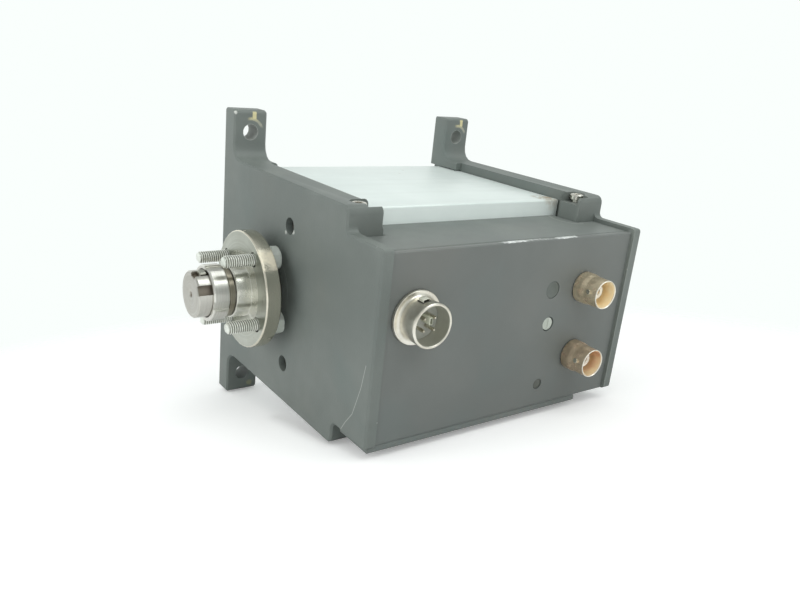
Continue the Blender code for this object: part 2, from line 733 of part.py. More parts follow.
def on_rotor(obj, side=1, along=0.0, radius=0.0, angle=0.0):
    """Parents a piece to the rotor with its local Z outward, at a radius and an angle from +Y."""
    obj.parent = ROTOR
    spin = Matrix.Rotation(radians(angle), 4, "X")
    obj.matrix_local = spin @ Matrix.Translation((side * along, radius, 0)) @ ALONG_SHAFT[side]


def radial_box(name, radius, angle, width, depth, along, length, cutter=True, look=None):
    """A bar on the rotor's surface: its outer face at a radius, at an angle from +Y towards +Z."""
    half = width / 2
    low, high = (0, radius - depth, -half), (length, radius, half)
    obj = box(name, low, high, look, cutter)
    turn = Matrix.Rotation(radians(angle), 4, "X")
    place = Matrix.Translation(((low[0] + high[0]) / 2 + along, radius - depth / 2, 0))
    obj.parent = ROTOR
    obj.matrix_local = turn @ place
    return obj


def rotor_shaft():
    """One turned piece: journals at both ends, a torsion neck on each side of the middle boss."""
    r, c = SHAFT_RADIUS, SHAFT_CHAMFER
    shoulder = BEARING_INNER_END - SEAT_GAP
    boss = BOSS_LENGTH / 2
    neck = boss + NECK_LENGTH
    fillet = (SHOULDER_RADIUS - NECK_RADIUS) / 2
    half = [
        (0, SHAFT_END - CENTRE_HOLE_DEPTH),
        (CENTRE_HOLE_RADIUS, SHAFT_END),
        (r - c, SHAFT_END),
        (r, SHAFT_END - c),
        (r, shoulder),
        (SHOULDER_RADIUS, shoulder),
        (SHOULDER_RADIUS, neck + fillet),
        (NECK_RADIUS + fillet * (1 - sin(pi / 4)), neck + fillet * (1 - cos(pi / 4))),
        (NECK_RADIUS, neck),
        (NECK_RADIUS, boss + fillet),
        (NECK_RADIUS + fillet * (1 - sin(pi / 4)), boss + fillet * (1 - cos(pi / 4))),
        (SHOULDER_RADIUS, boss),
    ]
    profile = half + [(radius, -height) for radius, height in reversed(half)]
    obj = turned("rotor_shaft", profile, TURNED_STEEL)
    on_rotor(obj)
    for side in (-1, 1):
        end = SHAFT_END if side == 1 else -SHAFT_END
        start = end - KEYWAY_LENGTH if side == 1 else end - 0.002
        for label, angle in (("front", KEYWAY_ANGLE), ("top", KEY_ANGLE)):
            name = f"keyway_{label}_{side}"
            outer = SHAFT_RADIUS + 0.002
            length = KEYWAY_LENGTH + 0.002
            depth = KEYWAY_DEPTH + 0.002
            tool = radial_box(name, outer, angle, KEYWAY_WIDTH, depth, start, length)
            boolean(obj, tool)
    return obj


rotor_shaft()


def shaft_key(side):
    """A short key beside the nut, set back from the shaft's end."""
    length = SHAFT_BEYOND_NUT - KEY_FROM_END - SEAT_GAP
    start = NUT_END + SEAT_GAP
    along = start if side == 1 else -start - length
    name = "left_key" if side == -1 else "right_key"
    radius = SHAFT_RADIUS + KEY_STANDS_PROUD
    depth = KEY_STANDS_PROUD + KEYWAY_DEPTH - SEAT_GAP
    width = KEYWAY_WIDTH - 2 * SEAT_GAP
    obj = radial_box(name, radius, KEY_ANGLE, width, depth, along, length, False, TURNED_STEEL)
    round_edges(obj, 0.00025, 1)
    return obj


def bolt_angles():
    return [BOLT_PATTERN_TURN + 45 + 360 * i / BOLT_COUNT for i in range(BOLT_COUNT)]


def flange(name, side):
    c = FLANGE_CHAMFER
    profile = [
        (ROTOR_BORE_RADIUS, HUB_END),
        (HUB_RADIUS - c, HUB_END),
        (HUB_RADIUS, HUB_END - c),
        (HUB_RADIUS, FLANGE_FRONT),
        (FLANGE_RADIUS - c, FLANGE_FRONT),
        (FLANGE_RADIUS, FLANGE_FRONT - c),
        (FLANGE_RADIUS, FLANGE_BACK + c),
        (FLANGE_RADIUS - c, FLANGE_BACK),
        (ROTOR_BORE_RADIUS, FLANGE_BACK),
    ]
    obj = turned(name, profile, TURNED_STEEL, steps=FINE_STEPS, ring=True)
    on_rotor(obj, side)
    beyond = 0.005
    length = FLANGE_THICKNESS + 2 * beyond
    for number, angle in enumerate(bolt_angles()):
        label = f"{name}_hole_{number}"
        tool = prism(label, BOLT_HOLE_RADIUS, length, SMALL_STEPS, cutter=True)
        on_rotor(tool, side, FLANGE_BACK - beyond, BOLT_CIRCLE_RADIUS, angle)
        boolean(obj, tool)
    return obj


def flange_bolts(side, prefix):
    """Hex bolts put in from behind the flange, their shanks pointing outward."""
    shared = None
    for number, angle in enumerate(bolt_angles(), start=1):
        name = f"{prefix}_flange_bolt_{number}"
        if shared is None:
            head = BOLT_HEAD_HEIGHT
            obj = prism(name, BOLT_HEAD_FLATS / 2 / cos(pi / 6), head, 6, ZINC)
            tip = 0.0004
            shank = turned(
                prefix + "_bolt_shank",
                [
                    (0, head + BOLT_LENGTH),
                    (BOLT_RADIUS - tip, head + BOLT_LENGTH),
                    (BOLT_RADIUS, head + BOLT_LENGTH - tip),
                    (BOLT_RADIUS, head / 2),
                    (0, head / 2),
                ],
                cutter=True,
                steps=12,
            )
            boolean(obj, shank, "UNION")
            bpy.context.view_layer.update()
            graph = bpy.context.evaluated_depsgraph_get()
            shared = bpy.data.meshes.new_from_object(obj.evaluated_get(graph))
            obj.modifiers.clear()
            obj.data = shared
            bpy.data.objects.remove(shank, do_unlink=True)
            smooth(obj)
        else:
            obj = new_object(name, shared)
        start = FLANGE_BACK - SEAT_GAP - BOLT_HEAD_HEIGHT
        on_rotor(obj, side, start, BOLT_CIRCLE_RADIUS, angle)


def lock_washer(name, side):
    profile = [
        (ROTOR_BORE_RADIUS, WASHER_END),
        (WASHER_RADIUS, WASHER_END),
        (WASHER_RADIUS, HUB_END + SEAT_GAP),
        (ROTOR_BORE_RADIUS, HUB_END + SEAT_GAP),
    ]
    on_rotor(turned(name, profile, TURNED_STEEL, ring=True), side)


def lock_nut(name, side):
    c = NUT_CHAMFER
    profile = [
        (ROTOR_BORE_RADIUS, NUT_END),
        (NUT_RADIUS - c, NUT_END),
        (NUT_RADIUS, NUT_END - c),
        (NUT_RADIUS, NUT_START + c),
        (NUT_RADIUS - c, NUT_START),
        (ROTOR_BORE_RADIUS, NUT_START),
    ]
    obj = turned(name, profile, BRIGHT_STEEL, ring=True)
    on_rotor(obj, side)
    beyond = 0.002
    outer = NUT_RADIUS + beyond
    depth = NUT_SLOT_DEPTH + beyond
    length = NUT_LENGTH + 2 * beyond
    start = NUT_START - beyond
    along = start if side == 1 else -start - length
    for number in range(NUT_SLOT_COUNT):
        angle = NUT_SLOT_ANGLE + 360 / NUT_SLOT_COUNT * number
        label = f"{name}_slot_{number}"
        boolean(obj, radial_box(label, outer, angle, NUT_SLOT_WIDTH, depth, along, length))
    return obj


def bearing(prefix, side):
    """A shielded ball bearing: its outer ring in the bracket and its inner ring on the shaft."""
    inner, outer = BEARING_INNER_END, BEARING_OUTER_END
    low, high = BEARING_SPLIT, BEARING_RADIUS
    ring = [(low, outer), (high, outer), (high, inner), (low, inner)]
    obj = turned(prefix + "_bearing_outer", ring, BEARING_STEEL, ring=True)
    obj.matrix_world = Matrix.Translation((0, AXIS_Y, 0)) @ ALONG_SHAFT[side]
    low, high = ROTOR_BORE_RADIUS, BEARING_SPLIT - SEAT_GAP
    ring = [(low, outer), (high, outer), (high, inner), (low, inner)]
    on_rotor(turned(prefix + "_bearing_inner", ring, BEARING_STEEL, ring=True), side)


def signal_rings():
    """The rotor's coil ring and the ring around it in the stator, each with a winding groove."""
    groove, deep = COIL_GROOVE_WIDTH / 2, COIL_GROOVE_DEPTH
    half = ROTOR_RING_LENGTH / 2
    low, high = SHOULDER_RADIUS + SEAT_GAP, ROTOR_RING_RADIUS
    profile = [
        (low, half),
        (high, half),
        (high, groove),
        (high - deep, groove),
        (high - deep, -groove),
        (high, -groove),
        (high, -half),
        (low, -half),
    ]
    on_rotor(turned("rotor_coil_ring", profile, COIL_RESIN, ring=True))
    half = STATOR_RING_LENGTH / 2
    low, high = ROTOR_RING_RADIUS + RING_AIR_GAP, STATOR_RING_RADIUS
    profile = [
        (low, groove),
        (low, half),
        (high, half),
        (high, -half),
        (low, -half),
        (low, -groove),
        (low + deep, -groove),
        (low + deep, groove),
    ]
    obj = turned("stator_coil_ring", profile, COIL_RESIN, ring=True, steps=FINE_STEPS)
    obj.matrix_world = Matrix.Translation((0, AXIS_Y, 0)) @ ALONG_SHAFT[1]


signal_rings()
for prefix, side in (("left", -1), ("right", 1)):
    bearing(prefix, side)
    flange(prefix + "_flange", side)
    flange_bolts(side, prefix)
    lock_washer(prefix + "_lock_washer", side)
    lock_nut(prefix + "_lock_nut", side)
    shaft_key(side)


# --- Screws in the brackets -------------------------------------------------------------------


def socket_screw(r, head, h):
    """Mesh of a socket-head screw: head above local Z 0, shank below it."""
    c = 0.0003
    profile = [
        (0, h),
        (head - c, h),
        (head, h - c),
        (head, 0),
        (r, 0),
        (r, -SCREW_LENGTH),
        (0, -SCREW_LENGTH),
    ]
    obj = turned("socket_screw", profile, ZINC, steps=14)
    across = head * SOCKET_SHARE / cos(pi / 6)
    tool = prism("screw_socket", across, SOCKET_DEPTH + 0.001, 6, cutter=True)
    tool.location = (0, 0, h - SOCKET_DEPTH)
    boolean(obj, tool)
    bpy.context.view_layer.update()
    graph = bpy.context.evaluated_depsgraph_get()
    mesh = bpy.data.meshes.new_from_object(obj.evaluated_get(graph))
    bpy.data.objects.remove(obj, do_unlink=True)
    bpy.data.objects.remove(tool, do_unlink=True)
    return mesh


SIDE_SCREW = socket_screw(SIDE_SCREW_RADIUS, SIDE_HEAD_RADIUS, SIDE_HEAD_HEIGHT)
LUG_SCREW = socket_screw(LUG_SCREW_RADIUS, LUG_HEAD_RADIUS, LUG_HEAD_HEIGHT)
for prefix, side in (("left", -1), ("right", 1)):
    for label, level in (("upper", 1), ("lower", -1)):
        x = side * (HALF_WIDTH - SIDE_SCREW_SUNK + SEAT_GAP)
        place = (x, MOUNT_Y - SIDE_SCREW_DEPTH, level * SIDE_SCREW_HEIGHT)
        screw = new_object(f"{prefix}_{label}_side_screw", SIDE_SCREW)
        screw.matrix_world = Matrix.Translation(place) @ ALONG_SHAFT[side]
        x = side * (HALF_WIDTH - LUG_SCREW_FROM_SIDE)
        height = level * (PLATE_HEIGHT / 2 - LUG_POCKET_DEPTH + SEAT_GAP)
        place = (x, MOUNT_Y - LUG_SCREW_DEPTH, height)
        screw = new_object(f"{prefix}_{label}_lug_screw", LUG_SCREW)
        screw.matrix_world = Matrix.Translation(place) @ UPRIGHT[level]


# --- Round power connector --------------------------------------------------------------------


def power_connector():
    rim, base = POWER_REACH, SEAT_GAP
    ring, fillet = POWER_RING_RADIUS, POWER_NECK_FILLET
    flange_top = base + POWER_FLANGE_THICKNESS
    tail = -POWER_TAIL
    inside = POWER_TAIL_RADIUS - POWER_TAIL_WALL
    face = rim - POWER_INSERT_FACE
    lip = face - POWER_INSERT_HEAD - SEAT_GAP
    c = 0.0002
    # The flange runs into the neck in a hollow curve.
    flare = [(ring + fillet * (1 - cos(a)), flange_top + fillet * (1 - sin(a))) for a in (0, pi / 6, pi / 3)]
    profile = [
        (POWER_BORE_RADIUS, rim),
        (ring - c, rim),
        (ring, rim - c),
        *flare,
        (POWER_FLANGE_RADIUS - c, flange_top),
        (POWER_FLANGE_RADIUS, flange_top - c),
        (POWER_FLANGE_RADIUS, base),
        (POWER_TAIL_RADIUS, base),
        (POWER_TAIL_RADIUS, tail),
        (inside, tail),
        (inside, lip),
        (POWER_BORE_RADIUS, lip),
    ]
    shell = turned("power_connector_shell", profile, NICKEL, ring=True)
    here = at_panel(POWER_X, POWER_Z)
    shell.matrix_world = here
    half = POWER_KEY_WIDTH / 2
    start = flange_top + fillet / 2
    low = (ring - POWER_WALL / 2, -half, start)
    high = (ring + POWER_KEY_HEIGHT, half, start + POWER_KEY_LENGTH)
    key = box("power_key", low, high, cutter=True)
    turn = Matrix.Rotation(radians(POWER_KEY_ANGLE), 4, "Z")
    key.matrix_world = here @ turn @ Matrix.Translation(key.location)
    boolean(shell, key, "UNION")

    back = tail + 0.001
    head = POWER_BORE_RADIUS - SEAT_GAP
    profile = [
        (0, face),
        (head, face),
        (head, face - POWER_INSERT_HEAD),
        (INSERT_RADIUS, face - POWER_INSERT_HEAD),
        (INSERT_RADIUS, back),
        (0, back),
    ]
    insert = turned("power_connector_insert", profile, DARK_PLASTIC)
    insert.matrix_world = here
    tip = rim - PIN_BELOW_RIM
    half_x, half_y = CENTRE_POST_WIDTH / 2, CENTRE_POST_HEIGHT / 2
    low, high = (-half_x, -half_y, face - 0.001), (half_x, half_y, tip - 0.0008)
    post = box("power_post", low, high, cutter=True)
    post.matrix_world = here @ Matrix.Translation(post.location)
    boolean(insert, post, "UNION")
    pin_hole = PIN_RADIUS + SEAT_GAP
    seat = face - 0.003
    shared = None
    for number in range(PIN_COUNT):
        angle = radians(45 + 360 * number / PIN_COUNT)
        step = Vector((PIN_CIRCLE_RADIUS * cos(angle), PIN_CIRCLE_RADIUS * sin(angle), seat))
        place = here @ Matrix.Translation(step)
        tool = prism(f"pin_hole_{number}", pin_hole, 0.005, 12, cutter=True)
        tool.matrix_world = place
        boolean(insert, tool)
        name = f"power_pin_{number + 1}"
        if shared is None:
            length = tip - seat - SEAT_GAP
            pin = turned(
                name,
                [
                    (0, length),
                    (PIN_RADIUS * 0.6, length),
                    (PIN_RADIUS, length - 0.0004),
                    (PIN_RADIUS, 0),
                    (0, 0),
                ],
                GOLD,
                steps=12,
            )
            shared = pin.data
        else:
            pin = new_object(name, shared)
            copy_turn(pin, 12)
        pin.matrix_world = place @ Matrix.Translation((0, 0, SEAT_GAP))


def copy_turn(obj, steps):
    """Adds the turning step to an object that shares another's profile."""
    screw = obj.modifiers.new("turn", "SCREW")
    screw.axis = "Z"
    screw.angle = 2 * pi
    screw.steps = steps
    screw.render_steps = steps
    screw.use_merge_vertices = True
    screw.merge_threshold = 0.00001
    screw.use_smooth_shade = True


power_connector()


# --- Coaxial jacks ----------------------------------------------------------------------------


def jack(prefix, z):
    """A bayonet jack: body with collar and two lugs, insulator, centre contact and nut behind the panel."""
    rim, base = JACK_REACH, SEAT_GAP
    collar = base + JACK_COLLAR_LENGTH
    tail = -PANEL_THICKNESS - JACK_TAIL
    bore = INSULATOR_RADIUS + SEAT_GAP
    mouth = rim - JACK_MOUTH_DEPTH
    c = 0.0002
    profile = [
        (JACK_BORE_RADIUS + c, rim),
        (JACK_RADIUS - c, rim),
        (JACK_RADIUS, rim - c),
        (JACK_RADIUS, collar),
        (JACK_COLLAR_RADIUS - c, collar),
        (JACK_COLLAR_RADIUS, collar - c),
        (JACK_COLLAR_RADIUS, base),
        (JACK_TAIL_RADIUS, base),
        (JACK_TAIL_RADIUS, tail),
        (bore, tail),
        (bore, mouth),
        (JACK_BORE_RADIUS, mouth),
        (JACK_BORE_RADIUS, rim - c),
    ]
    body = turned(prefix + "_body", profile, GOLD, ring=True, steps=24)
    here = at_panel(JACK_X, z)
    body.matrix_world = here
    for number, angle in enumerate(JACK_LUG_ANGLES):
        inner = JACK_RADIUS - 0.0003
        length = JACK_LUG_HEIGHT + 0.0003
        peg = prism(f"{prefix}_lug_{number}", JACK_LUG_RADIUS, length, 12, cutter=True)
        stand = Matrix.Translation((0, 0, rim - JACK_LUG_FROM_RIM))
        turn = Matrix.Rotation(radians(angle), 4, "Z") @ Matrix.Rotation(pi / 2, 4, "Y")
        peg.matrix_world = here @ stand @ turn @ Matrix.Translation((0, 0, inner))
        boolean(body, peg, "UNION")
    face = rim - INSULATOR_RECESS
    back = tail + 0.0005
    profile = [
        (CONTACT_RADIUS + SEAT_GAP, face),
        (INSULATOR_RADIUS, face),
        (INSULATOR_RADIUS, back),
        (CONTACT_RADIUS + SEAT_GAP, back),
    ]
    insulator = turned(prefix + "_insulator", profile, WHITE_PLASTIC, ring=True, steps=20)
    insulator.matrix_world = here
    top, bottom = face - 0.0002, tail - 0.001
    drill = top - 0.003
    profile = [
        (0, drill),
        (CONTACT_BORE_RADIUS, drill),
        (CONTACT_BORE_RADIUS, top),
        (CONTACT_RADIUS, top),
        (CONTACT_RADIUS, bottom),
        (0, bottom),
    ]
    contact = turned(prefix + "_contact", profile, GOLD, steps=12)
    contact.matrix_world = here
    across = (JACK_TAIL_RADIUS + JACK_NUT_WALL) / cos(pi / 6)
    nut = prism(prefix + "_nut", across, JACK_NUT_THICKNESS, 6, NICKEL)
    nut_place = Matrix.Translation((0, 0, -PANEL_THICKNESS - SEAT_GAP - JACK_NUT_THICKNESS))
    nut.matrix_world = here @ nut_place
    tool = prism(prefix + "_nut_bore", JACK_TAIL_RADIUS + SEAT_GAP, 0.006, 24, cutter=True)
    tool.matrix_world = here @ nut_place @ Matrix.Translation((0, 0, -0.002))
    boolean(nut, tool)


for prefix, z in zip(("upper_jack", "lower_jack"), JACK_Z):
    jack(prefix, z)


# --- Small panel pieces -----------------------------------------------------------------------


def zero_trimmer():
    """The slotted adjuster behind a hole in the panel. It turns about its own axis."""
    start = -TRIMMER_SUNK - TRIMMER_LENGTH
    obj = prism("zero_trimmer", TRIMMER_RADIUS, TRIMMER_LENGTH, 24, WHITE_PLASTIC)
    obj.matrix_world = at_panel(TRIMMER_X, TRIMMER_Z) @ Matrix.Translation((0, 0, start))
    half = TRIMMER_SLOT_WIDTH / 2
    wide = TRIMMER_RADIUS * 0.68
    low = (-half, -wide, TRIMMER_LENGTH - TRIMMER_SLOT_DEPTH)
    high = (half, wide, TRIMMER_LENGTH + 0.001)
    tool = box("trimmer_slot", low, high, cutter=True)
    place = at_panel(TRIMMER_X, TRIMMER_Z) @ Matrix.Translation((0, 0, start))
    tool.matrix_world = place @ Matrix.Translation(tool.location)
    boolean(obj, tool)
    smooth(obj)
    return obj


def hole_plug():
    """A round plug, flush with the panel and dished in its middle."""
    deep = PLUG_LENGTH
    profile = [
        (0, -PLUG_DISH_DEPTH),
        (PLUG_DISH_RADIUS, -PLUG_DISH_DEPTH),
        (PLUG_DISH_RADIUS, 0),
        (PLUG_RADIUS, 0),
        (PLUG_RADIUS, -deep),
        (0, -deep),
    ]
    obj = turned("hole_plug", profile, DARK_PLASTIC, steps=24)
    obj.matrix_world = at_panel(PLUG_X, PLUG_Z)


def power_lamp():
    r = LAMP_RADIUS
    dome = [(r * sin(a), r * 0.4 * (cos(a) - 1)) for a in (0, pi / 6, pi / 3, pi / 2)]
    profile = dome + [(r, -LAMP_LENGTH), (0, -LAMP_LENGTH)]
    obj = turned("power_lamp", profile, LAMP_LENS, steps=20)
    obj.matrix_world = at_panel(LAMP_X, LAMP_Z)


zero_trimmer()
hole_plug()
power_lamp()
bpy.context.view_layer.update()
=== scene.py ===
import json
from math import radians

import bmesh
import bpy
import numpy as np
from mathutils import Euler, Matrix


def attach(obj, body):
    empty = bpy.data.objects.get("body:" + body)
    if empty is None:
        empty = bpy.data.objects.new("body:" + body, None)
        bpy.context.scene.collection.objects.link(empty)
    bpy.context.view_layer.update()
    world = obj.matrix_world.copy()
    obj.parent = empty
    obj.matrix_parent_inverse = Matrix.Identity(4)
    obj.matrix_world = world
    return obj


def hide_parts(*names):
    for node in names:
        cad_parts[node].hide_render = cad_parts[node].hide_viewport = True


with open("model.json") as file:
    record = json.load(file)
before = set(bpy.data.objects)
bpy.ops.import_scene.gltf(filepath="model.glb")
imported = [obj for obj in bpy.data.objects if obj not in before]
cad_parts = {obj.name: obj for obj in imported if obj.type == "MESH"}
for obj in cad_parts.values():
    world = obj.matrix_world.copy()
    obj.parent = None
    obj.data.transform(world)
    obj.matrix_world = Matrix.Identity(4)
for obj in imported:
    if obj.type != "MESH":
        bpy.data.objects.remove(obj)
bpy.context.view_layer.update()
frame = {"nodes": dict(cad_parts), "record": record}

scene = bpy.context.scene
nodes = frame["nodes"]
bodyOf = {node: body for body, names in frame["record"]["behaviour"]["bodies"].items() for node in names}
shaftY = 0.01495  # the shaft's axis runs along x at this y and at z 0
panelY = -0.04495  # the panel's front face


# view and light

viewSettings = {
    "lens": 33.85,  # mm on a 36 mm wide sensor
    "place": (-0.15715, -0.19453, 0.07626),
    # the photographed sensor leans on its front, so the view rolls a little
    "turn": (71.597, -5.688, -35.246),
}

cameraData = bpy.data.cameras.new("photoCamera")
cameraData.lens = viewSettings["lens"]
cameraData.sensor_width = 36
cameraData.clip_start = 0.01
camera = bpy.data.objects.new("photoCamera", cameraData)
camera.location = viewSettings["place"]
camera.rotation_euler = Euler([radians(a) for a in viewSettings["turn"]], "XYZ")
scene.collection.objects.link(camera)
scene.camera = camera
scene.view_settings.view_transform = "Standard"


class Wire:
    # one node socket; arithmetic on it adds Math nodes, and node() adds any other kind
    def __init__(self, tree, socket=None):
        self.tree = tree
        self.socket = socket

    def node(self, kind, settings=None, inputs=None, out=0):
        made = self.tree.nodes.new("ShaderNode" + kind)
        for key, value in (settings or {}).items():
            setattr(made, key, value)
        for key, value in (inputs or {}).items():
            if isinstance(value, Wire):
                self.tree.links.new(value.socket, made.inputs[key])
            else:
                made.inputs[key].default_value = value
        return Wire(self.tree, made.outputs[out])

    def math(self, operation, *values):
        return self.node("Math", {"operation": operation}, dict(enumerate(values)))

    def __add__(self, other):
        return self.math("ADD", self, other)

    def __sub__(self, other):
        return self.math("SUBTRACT", self, other)

    def __rsub__(self, other):
        return self.math("SUBTRACT", other, self)

    def __mul__(self, other):
        return self.math("MULTIPLY", self, other)

    def __truediv__(self, other):
        return self.math("DIVIDE", self, other)

    __radd__ = __add__
    __rmul__ = __mul__

    def most(self, other):
        return self.math("MAXIMUM", self, other)

    def least(self, other):
        return self.math("MINIMUM", self, other)

    def size(self):
        return self.math("ABSOLUTE", self)

    def root(self):
        return self.math("SQRT", self)

    # 0 below low, 1 above high, eased between; low above high turns it round
    def step(self, low, high):
        inputs = {"Value": self, "From Min": low, "From Max": high}
        return self.node("MapRange", {"interpolation_type": "SMOOTHSTEP"}, inputs)

    # this value is the share of the second colour
    def tint(self, first, second):
        inputs = {0: self, 6: asColor(first), 7: asColor(second)}
        return self.node("Mix", {"data_type": "RGBA"}, inputs, 2)

    def noise(self, scale, detail=3.0, rough=0.55, stretch=None):
        where = self.stretched(stretch) if stretch else self
        inputs = {"Vector": where, "Scale": scale, "Detail": detail, "Roughness": rough}
        return self.node("TexNoise", None, inputs)

    def cells(self, scale):
        inputs = {"Vector": self, "Scale": scale}
        return self.node("TexVoronoi", {"feature": "F1"}, inputs)

    def stretched(self, amounts):
        inputs = {0: self, 1: amounts}
        return self.node("VectorMath", {"operation": "MULTIPLY"}, inputs)

    def xyz(self):
        return [self.node("SeparateXYZ", None, {0: self}, axis) for axis in range(3)]

    # distance to a line along x through this y and z, in metres
    def awayFromLine(self, y, z):
        across, up = self.xyz()[1] - y, self.xyz()[2] - z
        return (across * across + up * up).root()

    # distance to a point, in metres
    def awayFrom(self, point):
        return self.node("VectorMath", {"operation": "DISTANCE"}, {0: self, 1: point}, 1)

    # distance to a path of straight lines, in metres: from each line, the nearest point between its two ends
    def awayFromPath(self, points):
        nearest = None
        for start, end in zip(points, points[1:]):
            along = tuple(b - a for a, b in zip(start, end))
            offset = self.node("VectorMath", {"operation": "SUBTRACT"}, {0: self, 1: start})
            share = self.node("VectorMath", {"operation": "DOT_PRODUCT"}, {0: offset, 1: along}, 1)
            share = (share / sum(v * v for v in along)).most(0.0).least(1.0)
            foot = self.node("VectorMath", {"operation": "SCALE"}, {0: along, 3: share})
            away = self.node("VectorMath", {"operation": "DISTANCE"}, {0: offset, 1: foot}, 1)
            nearest = away if nearest is None else nearest.least(away)
        return nearest

    # a bump from this height, in metres
    def bump(self, depth):
        inputs = {"Height": self, "Distance": depth, "Strength": 1.0}
        return self.node("Bump", None, inputs)


def asColor(value):
    return value if isinstance(value, Wire) else (*value[:3], 1.0)


# a material from a recipe: it gets the piece's own coordinates and gives back what feeds the shader
def makeLook(name, recipe, fixed=None):
    look = bpy.data.materials.new(name)
    look.use_nodes = True
    tree = look.node_tree
    shader = tree.nodes["Principled BSDF"]
    for key, value in (fixed or {}).items():
        shader.inputs[key].default_value = value
    coords = Wire(tree).node("TexCoord", None, None, 3)
    for key, value in recipe(coords).items():
        if isinstance(value, Wire):
            tree.links.new(value.socket, shader.inputs[key])
        else:
            shader.inputs[key].default_value = asColor(value) if key == "Base Color" else value
    return look


# a look whose recipe takes its own tones and amounts
def lookFrom(name, recipe, *amounts, fixed=None):
    return makeLook(name, lambda coords: recipe(coords, *amounts), fixed)


lightSettings = {
    "sky": 0.66,  # what the white room gives from all sides
    "skyColor": (0.955, 1.0, 0.98),
    "dimRoom": 0.56,  # what polished metal sees away from the backdrop and the windows
    "windowWay": (0.286, -0.429, 0.857),  # a bright window overhead, seen in polished metal only
    "windowWide": (0.34, 0.18),  # its outer and inner edge
    "windowShine": 3.6,
    "skylightWay": (0.430, -0.100, 0.897),  # a second, softer one behind it
    "skylightWide": (0.30, 0.10),
    "skylightShine": 2.6,
    "topLamp": {"place": (-0.05, -0.30, 0.56), "size": 0.7, "watts": 1.7},
    "fillLamp": {"place": (-0.75, 0.10, 0.30), "size": 0.7, "watts": 1.6},
    "floorTone": 0.92,
    "floorGlow": 0.26,  # for the camera alone, so that the paper stays white under plain light
    "floorTilt": 12.26,  # it stands on its lower ears and on the lugs' front edges
}

world = bpy.data.worlds.new("whiteRoom")
world.use_nodes = True
scene.world = world
background = world.node_tree.nodes["Background"]
paths = Wire(world.node_tree)
seen = paths.node("LightPath", None, None, 0)
shiny = paths.node("LightPath", None, None, 3)
through = paths.node("LightPath", None, None, 6)
# mirrored in metal the room is white behind the sensor, up to a third of the way, and at both windows
direction = paths.node("TexCoord", None, None, 0)
toY, toZ = direction.xyz()[1:]
backdrop = toY.step(-0.15, 0.35) * toZ.step(0.55, 0.30)
window = direction.awayFrom(lightSettings["windowWay"]).step(*lightSettings["windowWide"])
room = backdrop * (1.0 - lightSettings["dimRoom"]) + lightSettings["dimRoom"]
room = room.most(window * lightSettings["windowShine"])
skylight = direction.awayFrom(lightSettings["skylightWay"]).step(*lightSettings["skylightWide"])
room = room.most(skylight * lightSettings["skylightShine"])
sky = (room - lightSettings["sky"]) * shiny + lightSettings["sky"]
skyStrength = sky + (1.0 - sky) * seen.most(through)
world.node_tree.links.new(skyStrength.socket, background.inputs["Strength"])
background.inputs["Color"].default_value = asColor(lightSettings["skyColor"])

for lampName in ("topLamp", "fillLamp"):
    lamp = lightSettings[lampName]
    lampData = bpy.data.lights.new(lampName, "AREA")
    lampData.shape = "DISK"
    lampData.size = lamp["size"]
    lampData.energy = lamp["watts"]
    lampObject = bpy.data.objects.new(lampName, lampData)
    lampObject.location = lamp["place"]
    aim = lampObject.location.normalized().to_track_quat("Z", "Y")
    lampObject.rotation_euler = aim.to_euler()
    lampObject.visible_glossy = False
    scene.collection.objects.link(lampObject)


earFoot = (0.04675, -0.0520)  # y and z of the line the lower ears stand on
slope = np.tan(radians(lightSettings["floorTilt"]))


def floorHeight(y):
    return float(earFoot[1] - 0.0004 - (y - earFoot[0]) * slope)


def floorRecipe(coords):
    grain = coords.noise(9.0, 2.0)
    tone = lightSettings["floorTone"]
    shade = grain.tint((tone, tone, tone), (tone * 1.03, tone * 1.03, tone * 1.03))
    # painted contact shadow: the paper is painted a little darker where the left bracket comes down to it
    paintedContactShadow = coords.awayFromPath([(-0.0505, y, floorHeight(y)) for y in (0.008, -0.026)]).step(0.0045, 0.0005)
    shade = (paintedContactShadow * 0.5).tint(shade, (0.50, 0.51, 0.50))
    return {"Base Color": shade, "Roughness": 0.9}


floorLook = makeLook("paleFloor", floorRecipe, {"Specular IOR Level": 0.0})
floorTree = floorLook.node_tree
floorWire = Wire(floorTree)
# far from the sensor the camera looks past the floor to the white room, which is as bright
away = floorWire.node("TexCoord", None, None, 3).awayFrom((0, 0.01, -0.044)).step(0.16, 0.24)
hidden = away * floorWire.node("LightPath", None, None, 0)
clear = floorWire.node("BsdfTransparent")
glow = floorWire.node("LightPath", None, None, 0) * lightSettings["floorGlow"]
floorTree.links.new(glow.socket, floorTree.nodes["Principled BSDF"].inputs["Emission Strength"])
floorTree.nodes["Principled BSDF"].inputs["Emission Color"].default_value = asColor((1.0, 1.0, 1.0))
shown = Wire(floorTree, floorTree.nodes["Principled BSDF"].outputs[0])
mixed = floorWire.node("MixShader", None, {0: hidden, 1: shown, 2: clear})
floorTree.links.new(mixed.socket, floorTree.nodes["Material Output"].inputs[0])

floorReach = 1.2
floorCorners = [(x * floorReach, y * floorReach) for x, y in ((-1, -1), (1, -1), (1, 1), (-1, 1))]
floorPoints = [(x, y, floorHeight(y)) for x, y in floorCorners]
floorMesh = bpy.data.meshes.new("paleFloor")
floorMesh.from_pydata(floorPoints, [], [(0, 1, 2, 3)])
floorMesh.materials.append(floorLook)
floor = bpy.data.objects.new("paleFloor", floorMesh)
scene.collection.objects.link(floor)
print("view, light and floor are set")


# finishes

